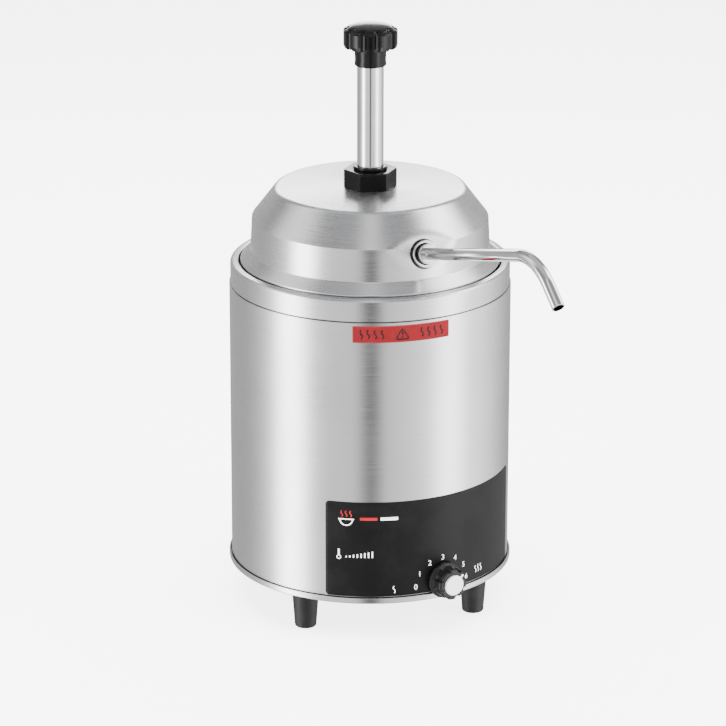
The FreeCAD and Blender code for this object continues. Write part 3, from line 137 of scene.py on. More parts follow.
def rounded(corners, steps=6):
    """Closed outline through corners of (across, up, rounding).

    A corner with a rounding r becomes an arc of radius r that touches both its sides, so its centre is
    r / sin(half the corner) along the bisector. One more point stands a little way along each side, so
    that the shading of a flat side stays flat up to its arc."""
    points = []
    count = len(corners)
    for index, (across, up, rounding) in enumerate(corners):
        corner = np.array([across, up], float)
        if rounding == 0:
            points.append(corner[None])
            continue
        before = np.array(corners[index - 1][:2], float) - corner
        after = np.array(corners[(index + 1) % count][:2], float) - corner
        room = min(np.linalg.norm(before), np.linalg.norm(after))
        before /= np.linalg.norm(before)
        after /= np.linalg.norm(after)
        half = math.acos(np.clip(before @ after, -1, 1)) / 2
        touch = min(rounding / math.tan(half), 0.4 * room)
        rounding = touch * math.tan(half)
        bisector = (before + after) / np.linalg.norm(before + after)
        centre = corner + bisector * rounding / math.sin(half)
        first = corner + before * touch - centre
        last = corner + after * touch - centre
        start = math.atan2(first[1], first[0])
        sweep = (math.atan2(last[1], last[0]) - start + math.pi) % (2 * math.pi) - math.pi
        angles = start + sweep * np.linspace(0, 1, steps + 1)
        arc = centre + rounding * np.stack([np.cos(angles), np.sin(angles)], 1)
        ease = 0.2 * touch
        points += [arc[:1] + before * ease, arc, arc[-1:] + after * ease]
    return np.concatenate(points)


def finer(outline, longest):
    """The same closed outline with each side cut so that no part is longer than a length."""
    pieces = []
    for start, end in zip(outline, np.roll(outline, -1, 0)):
        parts = max(1, math.ceil(np.linalg.norm(end - start) / longest))
        share = np.arange(parts)[:, None] / parts
        pieces.append(start + (end - start) * share)
    return np.concatenate(pieces)


def grid_piece(name, points, body, material, round_rows=False, round_columns=False, sharp=35.0):
    """A mesh from a grid of points (rows, columns, 3) in millimetres.

    The quads join neighbours in the grid, round the end where a direction is closed. The UV map holds
    the share of the way along the columns and rows. Points that meet, as at a pole, are merged."""
    rows, columns = points.shape[:2]
    row = np.arange(rows if round_rows else rows - 1)
    column = np.arange(columns if round_columns else columns - 1)
    row, column = [part.ravel() for part in np.meshgrid(row, column, indexing="ij")]
    corner_rows = np.stack([row, row, row + 1, row + 1], 1)
    corner_columns = np.stack([column, column + 1, column + 1, column], 1)
    faces = (corner_rows % rows) * columns + corner_columns % columns
    mesh = bpy.data.meshes.new(name)
    mesh.from_pydata((points.reshape(-1, 3) * METRES).tolist(), [], faces.tolist())
    layer = mesh.uv_layers.new(name="around")
    uv = np.stack([corner_columns / columns, corner_rows / rows], 2).astype(np.float32)
    layer.data.foreach_set("uv", uv.ravel())
    work = bmesh.new()
    work.from_mesh(mesh)
    bmesh.ops.remove_doubles(work, verts=work.verts, dist=1e-7)
    bmesh.ops.recalc_face_normals(work, faces=work.faces)
    work.to_mesh(mesh)
    work.free()
    mesh.shade_smooth()
    mesh.set_sharp_from_angle(angle=math.radians(sharp))
    mesh.materials.append(material)
    piece = bpy.data.objects.new(name, mesh)
    bpy.context.scene.collection.objects.link(piece)
    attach(piece, body)
    return piece


def turned(name, outline, body, material, shape=None, place=None, around=AROUND, sharp=35.0):
    """A turned piece: the closed outline (radius, height) carried round Z.

    Every point is (radius sin turn, -radius cos turn, height). shape changes the radius from the
    radius, height and turn arrays, and place moves the finished points."""
    turn = np.linspace(0, 2 * math.pi, around, endpoint=False)[None, :] + math.pi
    radius = np.repeat(outline[:, :1], around, 1)
    height = np.repeat(outline[:, 1:], around, 1)
    if shape is not None:
        radius = shape(radius, height, turn)
    points = np.stack([radius * np.sin(turn), -radius * np.cos(turn), height], 2)
    if place is not None:
        points = place(points)
    return grid_piece(name, points, body, material, round_rows=True, round_columns=True, sharp=sharp)


def on_dial(points):
    """Turn a piece made round Z so that it stands on the dial's axis, its Z pointing out of the front."""
    x, y, z = np.moveaxis(points, 2, 0)
    return np.stack([x, -z + DIAL_BACK, -y + DIAL_HEIGHT], 2)


def in_turn(reach, height, side=0.0, turn=SPOUT_TURN):
    """Points from a reach and height in the upright plane at a turn, and a distance to its left."""
    angle = math.radians(turn)
    x = reach * math.sin(angle) - side * math.cos(angle)
    y = -reach * math.cos(angle) - side * math.sin(angle)
    return np.stack(np.broadcast_arrays(x, y, height), -1)


def bent_tube(name, start, angle, first, bend, swing, last, outer, inner, body, material, around=96):
    """A tube along a straight run, one bend and a second run, in the plane of the spout.

    Its centre line is worked out at even steps: straight, then on a circle of the bend's radius, then
    straight again. Round each centre stand a circle of the outer radius and one of the inner radius,
    and the outline (along, radius) closes them over the two ends."""
    arc = bend * math.radians(abs(swing))
    total = first + arc + last
    along = np.concatenate([
        np.linspace(0, first, 12, endpoint=False),
        np.linspace(first, first + arc, 40, endpoint=False),
        np.linspace(first + arc, total, 8),
    ])
    edge = 0.3 * (outer - inner)
    outside = np.stack([along, np.full(along.shape, outer)], 1)
    inside = np.stack([along[::-1], np.full(along.shape, inner)], 1)
    outside[0, 1] -= edge
    outside[-1, 1] -= edge
    outside = np.insert(outside, [1, len(outside) - 1], [[edge, outer], [total - edge, outer]], 0)
    outline = np.concatenate([outside, inside])
    s = outline[:, 0]
    on_arc = np.clip(s - first, 0, arc)
    way = math.radians(angle) + np.sign(swing) * on_arc / bend
    heading = math.radians(angle)
    sign = np.sign(swing)
    reach = start[0] + np.minimum(s, first) * math.cos(heading)
    height = start[1] + np.minimum(s, first) * math.sin(heading)
    reach = reach + sign * bend * (np.sin(way) - math.sin(heading))
    height = height - sign * bend * (np.cos(way) - math.cos(heading))
    beyond = np.clip(s - first - arc, 0, None)
    reach = reach + beyond * np.cos(way)
    height = height + beyond * np.sin(way)
    round_turn = np.linspace(0, 2 * math.pi, around, endpoint=False)
    radius = outline[:, 1:]
    off = radius * np.sin(round_turn)[None, :]
    side = radius * np.cos(round_turn)[None, :]
    out = reach[:, None] - off * np.sin(way)[:, None]
    up = height[:, None] + off * np.cos(way)[:, None]
    points = in_turn(out, up, side)
    return grid_piece(name, points, body, material, round_rows=True, round_columns=True)


# ---------------------------------------------------------------- shader helpers

def set_socket(tree, socket, value):
    """Link an output to a socket, or give the socket a number or colour of its own."""
    if isinstance(value, bpy.types.NodeSocket):
        tree.links.new(value, socket)
    else:
        socket.default_value = value


def sum_up(tree, operation, *values):
    """A Math node on sockets or numbers."""
    node = tree.nodes.new("ShaderNodeMath")
    node.operation = operation
    for socket, value in zip(node.inputs, values):
        set_socket(tree, socket, value)
    return node.outputs[0]


def distance_from(tree, first, second, least=0.0):
    """Length of the flat vector (first, second); least keeps its square above 0."""
    total = sum_up(tree, "ADD", *[sum_up(tree, "MULTIPLY", side, side) for side in (first, second)])
    if least:
        total = sum_up(tree, "ADD", total, least)
    return sum_up(tree, "SQRT", total)


def spread(tree, value, low, high, dark, light):
    """Map a mask's low..high to dark..light, held at both ends."""
    node = tree.nodes.new("ShaderNodeMapRange")
    for socket, number in zip(node.inputs, (value, low, high, dark, light)):
        set_socket(tree, socket, number)
    return node.outputs[0]


def blend_colours(tree, mask, first, second):
    node = tree.nodes.new("ShaderNodeMix")
    node.data_type = "RGBA"
    set_socket(tree, node.inputs[0], mask)
    set_socket(tree, node.inputs[6], first)
    set_socket(tree, node.inputs[7], second)
    return node.outputs[2]


def noise(tree, vector, scale, detail=3.0, roughness=0.5):
    """Fac of a noise texture."""
    node = tree.nodes.new("ShaderNodeTexNoise")
    tree.links.new(vector, node.inputs["Vector"])
    node.inputs["Scale"].default_value = scale
    node.inputs["Detail"].default_value = detail
    node.inputs["Roughness"].default_value = roughness
    return node.outputs["Fac"]


def new_group(name, inputs, outputs):
    """An empty shader group with float, vector or colour sockets, and its input and output nodes."""
    group = bpy.data.node_groups.new(name, "ShaderNodeTree")
    kinds = {"float": "NodeSocketFloat", "vector": "NodeSocketVector", "colour": "NodeSocketColor"}
    for title, kind, start in inputs:
        socket = group.interface.new_socket(title, in_out="INPUT", socket_type=kinds[kind])
        if start is not None:
            socket.default_value = start
    for title, kind in outputs:
        group.interface.new_socket(title, in_out="OUTPUT", socket_type=kinds[kind])
    source = group.nodes.new("NodeGroupInput")
    result = group.nodes.new("NodeGroupOutput")
    return group, source, result


def use_group(tree, group, **values):
    node = tree.nodes.new("ShaderNodeGroup")
    node.node_tree = group
    for name, value in values.items():
        set_socket(tree, node.inputs[name], value)
    return node


def make_brush_group():
    """Brush lines that run round Z: noise that changes fast with height and radius and slowly with turn."""
    group, source, result = new_group(
        "brush_lines",
        [("Position", "vector", None), ("Lines", "float", 2600.0), ("Length", "float", 3.0)],
        [("Lines", "float"), ("Broad", "float")],
    )
    split = group.nodes.new("ShaderNodeSeparateXYZ")
    group.links.new(source.outputs["Position"], split.inputs[0])
    x, y, z = split.outputs
    radius = distance_from(group, x, y, least=1e-9)
    join = group.nodes.new("ShaderNodeCombineXYZ")
    for socket, part in ((0, x), (1, y)):
        share = sum_up(group, "DIVIDE", part, radius)
        group.links.new(sum_up(group, "MULTIPLY", share, source.outputs["Length"]), join.inputs[socket])
    group.links.new(sum_up(group, "MULTIPLY", z, source.outputs["Lines"]), join.inputs[2])
    fine = group.nodes.new("ShaderNodeTexNoise")
    fine.noise_dimensions = "4D"
    group.links.new(join.outputs[0], fine.inputs["Vector"])
    group.links.new(sum_up(group, "MULTIPLY", radius, source.outputs["Lines"]), fine.inputs["W"])
    fine.inputs["Scale"].default_value = 1.0
    fine.inputs["Detail"].default_value = 3.0
    group.links.new(fine.outputs["Fac"], result.inputs["Lines"])
    group.links.new(noise(group, source.outputs["Position"], 22.0, 2.0), result.inputs["Broad"])
    return group


def make_smudge_group():
    """Faint handling marks: two scales of noise, held to a mask from 0 to 1."""
    group, source, result = new_group(
        "smudges", [("Position", "vector", None), ("Size", "float", 40.0)], [("Mask", "float")])
    large = group.nodes.new("ShaderNodeTexNoise")
    group.links.new(source.outputs["Position"], large.inputs["Vector"])
    group.links.new(source.outputs["Size"], large.inputs["Scale"])
    large.inputs["Detail"].default_value = 4.0
    large.inputs["Distortion"].default_value = 0.6
    small = noise(group, source.outputs["Position"], 260.0, 2.0)
    mixed = sum_up(group, "MULTIPLY", large.outputs["Fac"], spread(group, small, 0.3, 0.7, 0.8, 1.0))
    group.links.new(spread(group, mixed, 0.38, 0.62, 0.0, 1.0), result.inputs["Mask"])
    return group


def make_mould_group():
    """The fine skin of a moulded piece: small soft pits."""
    group, source, result = new_group(
        "moulded_skin", [("Position", "vector", None), ("Fineness", "float", 1800.0)], [("Height", "float")])
    pits = group.nodes.new("ShaderNodeTexNoise")
    group.links.new(source.outputs["Position"], pits.inputs["Vector"])
    group.links.new(source.outputs["Fineness"], pits.inputs["Scale"])
    pits.inputs["Detail"].default_value = 2.0
    wide = noise(group, source.outputs["Position"], 160.0, 1.0)
    group.links.new(sum_up(group, "ADD", pits.outputs["Fac"], wide), result.inputs["Height"])
    return group


def make_seam_group():
    """Painted shade in the gap where two pieces nearly touch: 1 inside a radius or below a height, easing to
    0 outside it.
    """
    group, source, result = new_group(
        "painted_gap_shade",
        [("Position", "vector", None), ("Radius", "float", 0.0), ("Height", "float", 0.0),
         ("Ease", "float", 0.0006)],
        [("Shade", "float")],
    )
    split = group.nodes.new("ShaderNodeSeparateXYZ")
    group.links.new(source.outputs["Position"], split.inputs[0])
    x, y, z = split.outputs
    radius = distance_from(group, x, y)
    masks = []
    for value, limit in ((radius, source.outputs["Radius"]), (z, source.outputs["Height"])):
        past = sum_up(group, "DIVIDE", sum_up(group, "SUBTRACT", value, limit), source.outputs["Ease"])
        masks.append(spread(group, past, 0.0, 1.0, 1.0, 0.0))
    group.links.new(sum_up(group, "MAXIMUM", *masks), result.inputs["Shade"])
    return group


def make_groove_group():
    """Painted shade: dark rings about the spout's axis, where its turned pieces step and where they meet the
    lid.

    The distance from the axis is the length of the cross product of the axis and the way from its start.
    Each ring of painted shade darkens a band of distances, with eased edges."""
    group, source, result = new_group("fitting_ring_shade", [("Position", "vector", None)], [("Shade", "float")])
    reach, height = spout_start()
    rise = math.radians(SPOUT_RISE)
    start = in_turn(np.array(reach), np.array(height)) * METRES
    along = in_turn(np.array(math.cos(rise)), np.array(math.sin(rise)))
    offset = group.nodes.new("ShaderNodeVectorMath")
    offset.operation = "SUBTRACT"
    group.links.new(source.outputs["Position"], offset.inputs[0])
    offset.inputs[1].default_value = tuple(start)
    cross = group.nodes.new("ShaderNodeVectorMath")
    cross.operation = "CROSS_PRODUCT"
    group.links.new(offset.outputs[0], cross.inputs[0])
    cross.inputs[1].default_value = tuple(along)
    length = group.nodes.new("ShaderNodeVectorMath")
    length.operation = "LENGTH"
    group.links.new(cross.outputs[0], length.inputs[0])
    shade = 0.0
    for middle, half in FITTING_SHADE_RINGS:
        away = sum_up(group, "ABSOLUTE", sum_up(group, "SUBTRACT", length.outputs["Value"], middle * METRES))
        # each band of distances here is painted shade
        groove = spread(group, away, half * 0.5 * METRES, half * METRES, 1.0, 0.0)
        shade = sum_up(group, "MAXIMUM", shade, groove)
    split = group.nodes.new("ShaderNodeSeparateXYZ")
    group.links.new(source.outputs["Position"], split.inputs[0])
    near = spread(group, sum_up(group, "MULTIPLY", split.outputs[1], -1.0), 0.05, 0.06, 0.0, 1.0)
    group.links.new(sum_up(group, "MULTIPLY", shade, near), result.inputs["Shade"])
    return group


def spout_start():
    """Reach and height of the middle of the pressed flat, where the spout's axis leaves the lid."""
    height = LID_FOOT + LIP + FLARE_UP + SPOUT_SEAT
    foot = LID_FOOT + LIP + FLARE_UP + FACET_FOOT
    reach = LID_RIM - FLARE_IN - BAND_IN * FACET_FOOT / BAND_UP
    return reach - (height - foot) * math.tan(math.radians(SPOUT_RISE)), height


# rings of painted shade at the spout's fitting: middle and half width, in millimetres from the spout's axis
FITTING_SHADE_RINGS = ((11.5, 0.75), (8.6, 0.55), (6.1, 0.8))

brush_lines = make_brush_group()
fitting_ring_shade = make_groove_group()
painted_gap_shade = make_seam_group()
smudges = make_smudge_group()
moulded_skin = make_mould_group()


def new_material(name, **settings):
    """A material with one Principled BSDF whose plain values are set here. Returns what a finish needs."""
    material = bpy.data.materials.new(name)
    material.use_nodes = True
    tree = material.node_tree
    shader = next(node for node in tree.nodes if node.type == "BSDF_PRINCIPLED")
    for title, value in settings.items():
        shader.inputs[title.replace("_", " ")].default_value = value
    position = tree.nodes.new("ShaderNodeTexCoord").outputs["Object"]
    return material, tree, shader, position


def bump(tree, shader, height, strength, distance):
    node = tree.nodes.new("ShaderNodeBump")
    node.inputs["Strength"].default_value = strength
    node.inputs["Distance"].default_value = distance
    tree.links.new(height, node.inputs["Height"])
    tree.links.new(node.outputs["Normal"], shader.inputs["Normal"])


# ---------------------------------------------------------------- finishes

def brushed_steel(name, tone, roughness, lines, anisotropy, painted_shade_radius=0.0, painted_shade_height=0.0, with_ring_shade=False):
    """Steel brushed round its axis. The lobe is wide across the brush lines, along which it is tight."""
    material, tree, shader, position = new_material(
        name, Metallic=1.0, Anisotropic=anisotropy, Anisotropic_Rotation=0.25)
    brush = use_group(tree, brush_lines, Position=position, Lines=lines, Length=3.0)
    fine, broad = brush.outputs["Lines"], brush.outputs["Broad"]
    marks = use_group(tree, smudges, Position=position, Size=16.0).outputs["Mask"]
    dark = tuple(part * 0.90 for part in tone) + (1.0,)
    light = tuple(min(1.0, part * 1.06) for part in tone) + (1.0,)
    mixed = sum_up(tree, "ADD", fine, sum_up(tree, "MULTIPLY", broad, 0.5))
    shade = spread(tree, mixed, 0.45, 1.05, 0.0, 1.0)
    steel = blend_colours(tree, shade, dark, light)
    # painted shade: the colour goes to the painted shade colour inside a radius, below a height, or in rings
    # about the spout's axis
    if with_ring_shade:
        painted_shade_at = use_group(tree, fitting_ring_shade, Position=position).outputs[0]
    else:
        gap_shade_node = use_group(tree, painted_gap_shade, Position=position, Radius=painted_shade_radius * METRES,
                         Height=painted_shade_height * METRES)
        painted_shade_at = gap_shade_node.outputs[0]
    tree.links.new(blend_colours(tree, painted_shade_at, steel, PAINTED_SHADE_COLOUR), shader.inputs["Base Color"])
    worn = sum_up(tree, "MULTIPLY", marks, 0.05)
    rough = sum_up(tree, "ADD", spread(tree, fine, 0.3, 0.7, roughness - 0.05, roughness + 0.05), worn)
    tree.links.new(rough, shader.inputs["Roughness"])
    tangent = tree.nodes.new("ShaderNodeTangent")
    tangent.direction_type = "UV_MAP"
    tangent.uv_map = "around"
    tree.links.new(tangent.outputs[0], shader.inputs["Tangent"])
    bump(tree, shader, fine, 0.35, 0.00001)
    return material


def polished_steel(name, tone, roughness, marks_size=60.0, with_ring_shade=False):
    """Bright polished metal with faint smears and drawing lines."""
    material, tree, shader, position = new_material(name, Metallic=1.0)
    marks = use_group(tree, smudges, Position=position, Size=marks_size).outputs["Mask"]
    low = tuple(part * 0.93 for part in tone) + (1.0,)
    steel = blend_colours(tree, marks, low, tone + (1.0,))
    # painted shade rings about the spout's axis
    if with_ring_shade:
        ring_shade = use_group(tree, fitting_ring_shade, Position=position)
        steel = blend_colours(tree, ring_shade.outputs[0], steel, PAINTED_SHADE_COLOUR)
    tree.links.new(steel, shader.inputs["Base Color"])
    tree.links.new(spread(tree, marks, 0.0, 1.0, roughness, roughness + 0.07), shader.inputs["Roughness"])
    bump(tree, shader, noise(tree, position, 900.0, 2.0), 0.06, 0.00002)
    return material


def worked_metal(name, tone, roughness, grain=500.0):
    """Plain machined, rolled or drawn metal with a fine grain and a mottled tone."""
    material, tree, shader, position = new_material(name, Metallic=1.0)
    fine = noise(tree, position, grain, 4.0)
    broad = use_group(tree, smudges, Position=position, Size=35.0).outputs["Mask"]
    low = tuple(part * 0.82 for part in tone) + (1.0,)
    tree.links.new(blend_colours(tree, spread(tree, fine, 0.3, 0.7, 0.0, 1.0), low, tone + (1.0,)),
                   shader.inputs["Base Color"])
    rough = sum_up(tree, "ADD", spread(tree, fine, 0.3, 0.7, roughness - 0.06, roughness + 0.06),
                   sum_up(tree, "MULTIPLY", broad, 0.06))
    tree.links.new(rough, shader.inputs["Roughness"])
    bump(tree, shader, fine, 0.15, 0.00003)
    return material


def moulded(name, dark, light, roughness, fineness, depth, sheen=0.5):
    """Moulded plastic or rubber: a fine skin, a slight change of tone and rubbed patches."""
    material, tree, shader, position = new_material(name, Specular_IOR_Level=sheen)
    skin = use_group(tree, moulded_skin, Position=position, Fineness=fineness).outputs["Height"]
    marks = use_group(tree, smudges, Position=position, Size=30.0).outputs["Mask"]
    tree.links.new(blend_colours(tree, marks, dark + (1.0,), light + (1.0,)), shader.inputs["Base Color"])
    tree.links.new(spread(tree, marks, 0.0, 1.0, roughness, roughness + 0.09), shader.inputs["Roughness"])
    bump(tree, shader, skin, 0.25, depth)
    return material


def felt(name):
    """Needled glass felt: matted fibres of uneven tone."""
    material, tree, shader, position = new_material(name, Roughness=0.95)
    fibres = noise(tree, position, 900.0, 6.0, 0.7)
    clumps = noise(tree, position, 90.0, 3.0)
    mask = sum_up(tree, "MULTIPLY", fibres, clumps)
    matted = spread(tree, mask, 0.15, 0.4, 0.0, 1.0)
    tone = blend_colours(tree, matted, (0.42, 0.36, 0.25, 1), (0.80, 0.74, 0.60, 1))
    tree.links.new(tone, shader.inputs["Base Color"])
    bump(tree, shader, fibres, 0.8, 0.0006)
    return material


def spun_cap(name):
    """The dial's cap: pale satin metal spun in fine rings about the dial's axis."""
    material, tree, shader, position = new_material(name, Metallic=0.85)
    centre = tree.nodes.new("ShaderNodeVectorMath")
    centre.operation = "SUBTRACT"
    tree.links.new(position, centre.inputs[0])
    centre.inputs[1].default_value = (0.0, 0.0, DIAL_HEIGHT * METRES)
    split = tree.nodes.new("ShaderNodeSeparateXYZ")
    tree.links.new(centre.outputs[0], split.inputs[0])
    x, _, z = split.outputs
    radius = distance_from(tree, x, z)
    join = tree.nodes.new("ShaderNodeCombineXYZ")
    tree.links.new(radius, join.inputs[0])
    rings = noise(tree, join.outputs[0], 5200.0, 2.0)
    tone = blend_colours(tree, rings, (0.80, 0.80, 0.79, 1), (0.94, 0.94, 0.93, 1))
    tree.links.new(tone, shader.inputs["Base Color"])
    tree.links.new(spread(tree, rings, 0.3, 0.7, 0.42, 0.56), shader.inputs["Roughness"])
    bump(tree, shader, rings, 0.12, 0.00002)
    return material


STEEL = (0.64, 0.64, 0.645)
# the colour of painted shade in the gaps between pieces and round the spout's fitting
PAINTED_SHADE_COLOUR = (0.035, 0.035, 0.036, 1.0)
materials = {
    # painted shade along the foot of the wrap, where it meets the pan
    "brushed_steel": brushed_steel("brushed_steel_finish", STEEL, 0.30, 2600.0, 0.75,
                                   painted_shade_height=top_of("base_pan") + 0.3),
    "satin_steel": worked_metal("satin_steel_finish", (0.60, 0.60, 0.605), 0.30),
    "polished_steel": polished_steel("polished_steel_finish", (0.74, 0.74, 0.745), 0.05),
    "spring_steel": worked_metal("spring_steel_finish", (0.50, 0.50, 0.51), 0.28, 1200.0),
    "aluminium": worked_metal("rolled_aluminium_finish", (0.78, 0.78, 0.79), 0.42),
    "brass": worked_metal("machined_brass_finish", (0.72, 0.55, 0.28), 0.30),
    "gloss_black": moulded("gloss_black_finish", (0.0012, 0.0012, 0.0012), (0.0025, 0.0025, 0.0025), 0.12,
                           900.0, 0.00001, sheen=0.22),
    "matte_black": moulded("matte_black_finish", (0.003, 0.003, 0.003), (0.006, 0.006, 0.006), 0.36, 2400.0,
                           0.00003, sheen=0.28),
    "black_rubber": moulded("black_rubber_finish", (0.004, 0.004, 0.004), (0.009, 0.009, 0.009), 0.50, 1500.0,
                            0.00005, sheen=0.25),
    "silicone": moulded("silicone_finish", (0.66, 0.65, 0.61), (0.78, 0.77, 0.73), 0.50, 1200.0, 0.00004),
    "silver_cap": spun_cap("spun_cap_finish"),
    "white_mark": moulded("white_ink_finish", (0.78, 0.78, 0.77), (0.88, 0.88, 0.87), 0.42, 3000.0, 0.00001),
    "panel_film": moulded("panel_film_finish", (0.003, 0.003, 0.003), (0.005, 0.005, 0.005), 0.38, 3200.0,
                          0.00001, sheen=0.11),
    "red_film": moulded("red_film_finish", (0.125, 0.0016, 0.0035), (0.16, 0.002, 0.005), 0.42, 3200.0,
                        0.00001, sheen=0.12),
    "jacket_felt": felt("glass_felt_finish"),
    "white_acetal": moulded("white_acetal_finish", (0.74, 0.74, 0.71), (0.84, 0.84, 0.82), 0.38, 1500.0,
                            0.00002),
    "snap_switch": moulded("snap_switch_finish", (0.17, 0.07, 0.035), (0.25, 0.10, 0.05), 0.36, 1500.0,
                           0.00003),
}
# painted shade rings on the spout's fitting
ring_steel = polished_steel("ring_steel_painted_shade_finish", (0.66, 0.66, 0.665), 0.10, with_ring_shade=True)
black_ink = moulded("black_ink_finish", (0.006, 0.005, 0.006), (0.012, 0.010, 0.012), 0.42, 3000.0,
                    0.00001, sheen=0.12)
red_ink = moulded("red_ink_finish", (0.26, 0.002, 0.006), (0.32, 0.004, 0.009), 0.42, 3000.0,
                  0.00001, sheen=0.15)
pale_margin = moulded("label_margin_finish", (0.15, 0.012, 0.015), (0.19, 0.018, 0.022), 0.42, 3000.0,
                      0.00001, sheen=0.15)
# painted shade ring on the lid round the spout's nut
lid_steel = brushed_steel("lid_steel_finish", STEEL, 0.27, 2600.0, 0.70, with_ring_shade=True)
# painted shade on the recess wall under the lid's rim and where the shoulder meets the top of the wrap
shoulder_steel = brushed_steel("shoulder_steel_finish", STEEL, 0.27, 2600.0, 0.70, painted_shade_radius=RECESS + 0.3,
                               painted_shade_height=WRAP_TOP + 0.5)
rim_steel = brushed_steel("rim_steel_finish", STEEL, 0.20, 2600.0, 0.30)
plain_steel = brushed_steel("turned_steel_finish", (0.60, 0.60, 0.605), 0.26, 1800.0, 0.45)


def finish_cad_nodes():
    """Give every CAD node the finish of its slot."""
    for part in frame["record"]["subparts"]:
        mesh = frame["nodes"][part["node"]].data
        mesh.materials.clear()
        mesh.materials.append(materials[part["material_slot"]])


def stand_for(piece, node):
    """A finer piece takes the place of a CAD node, which is hidden."""
    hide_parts(node)
    return piece


# ---------------------------------------------------------------- warmer body

def make_base_pan():
    """The pan under the body, with a rolled rim that stands just outside the wrap."""
    radius = reach_of("base_pan")
    foot = foot_of("base_pan")
    top = top_of("base_pan")
    inside = radius - 1.2
    outline = rounded([
        (0, foot, 0), (radius, foot, 1.1), (radius, top, 0.55), (inside, top, 0.3),
        (inside, WRAP_FOOT, 0.3), (0, WRAP_FOOT, 0),
    ])
    piece = turned("pan_with_rolled_rim", outline, "base", rim_steel)
    return stand_for(piece, "base_pan")


def make_wrap():
    """The outer wrap: a plain rolled sheet with its edges just broken."""
    inside = WRAP - WRAP_SHEET
    outline = rounded([
        (inside, WRAP_FOOT, 0.2), (WRAP, WRAP_FOOT, 0.25), (WRAP, WRAP_TOP, 0.25), (inside, WRAP_TOP, 0.2),
    ])
    piece = turned("brushed_wrap", outline, "base", materials["brushed_steel"], around=384)
    return stand_for(piece, "outer_wrap")


def make_shoulder():
    """The pressed ring on the wrap: a skirt, a full round, the recess for the lid and a ledge."""
    outer = reach_of("shoulder_ring")
    foot = foot_of("shoulder_ring")
    top = top_of("shoulder_ring")
    ledge = top_of("water_well") + 1.0
    well = RECESS - LEDGE
    sheet = 1.0
    outline = rounded([
        (outer, foot, 0.2), (outer, top, 7.6), (RECESS, top + 0.2, 1.6), (RECESS, ledge, 0.8),
        (well, ledge, 0.3), (well, ledge - sheet, 0.3), (RECESS + sheet, ledge - sheet, 1.4),
        (RECESS + sheet, top - sheet, 0.6), (outer - sheet, top - sheet, 6.6), (outer - sheet, foot, 0.2),
    ], steps=10)
    piece = turned("rounded_shoulder", outline, "base", shoulder_steel, around=384)
    return stand_for(piece, "shoulder_ring")


def make_well():
    """The water well: a drawn can with a rounded floor and a flange under the ledge."""
    foot = foot_of("water_well")
    top = top_of("water_well")
    radius = RECESS - WELL_FLANGE
    inside = radius - CAN_SHEET
    under = top - CAN_SHEET
    bottom = foot + CAN_SHEET
    outline = rounded([
        (0, foot, 0), (radius, foot, 8.0), (radius, under, 0.8), (RECESS, under, 0.2),
        (RECESS, top, 0.2), (inside, top, 0.6), (inside, bottom, 7.2), (0, bottom, 0),
    ], steps=8)
    piece = turned("drawn_water_well", outline, "base", plain_steel)
    return stand_for(piece, "water_well")


def make_pot():
    """The lift-out pot: a drawn can with a rounded floor and a flat rim with a turned edge."""
    foot = foot_of("inner_pot")
    top = top_of("inner_pot")
    rim = reach_of("inner_pot")
    radius = RECESS - LEDGE - POT_CLEARANCE
    inside = radius - CAN_SHEET
    under = top - CAN_SHEET
    bottom = foot + CAN_SHEET
    outline = rounded([
        (0, foot, 0), (radius, foot, 10.0), (radius, under, 1.2), (rim, under, 0.35),
        (rim, top, 0.35), (inside, top, 1.6), (inside, bottom, 9.2), (0, bottom, 0),
    ], steps=8)
    piece = turned("drawn_pot", outline, "pot", plain_steel)
    return stand_for(piece, "inner_pot")


def make_feet():
    """Tapered rubber feet, rounded at the floor and hollow up to their screws."""
    socket = 5.2
    screw_hole = 2.6
    web = 7
    taper = 2.2
    for node in ("foot_front_right", "foot_rear_right", "foot_rear_left", "foot_front_left"):
        low, high = extent(node)
        middle = (low + high) / 2
        top_radius = (high[0] - low[0]) / 2
        outline = rounded([
            (socket, 0, 0.5), (top_radius - taper, 0, 1.6), (top_radius, high[2], 0.6),
            (screw_hole, high[2], 0), (screw_hole, high[2] - web, 0), (socket, high[2] - web, 0),
        ])
        shift = np.array([middle[0], middle[1], 0.0])
        piece = turned("rubber_" + node, outline, "base", materials["black_rubber"], around=96,
                       place=lambda points: points + shift)
        stand_for(piece, node)


# ---------------------------------------------------------------- labels

def on_wrap(across, up, proud):
    """Points on the wrap from a distance round it to the right of the front, a height and a standing-off."""
    radius = WRAP + proud
    turn = across / WRAP
    return np.stack(np.broadcast_arrays(radius * np.sin(turn), -radius * np.cos(turn), up), -1)


def label_place(node):
    """Middle (round the wrap from the front), foot, width and height of a label's CAD node."""
    low, high = extent(node)
    left_turn = math.atan2(low[0], math.sqrt(WRAP ** 2 - low[0] ** 2))
    right_turn = math.atan2(high[0], math.sqrt(WRAP ** 2 - high[0] ** 2))
    centre = (right_turn + left_turn) / 2 * WRAP
    return centre, low[2], (right_turn - left_turn) * WRAP, high[2] - low[2]


def wall_up(piece, thickness):
    """Give a thin surface its wall, inwards from where it is."""
    solid = piece.modifiers.new("wall", "SOLIDIFY")
    solid.thickness = thickness * METRES
    solid.offset = -1.0
    return piece


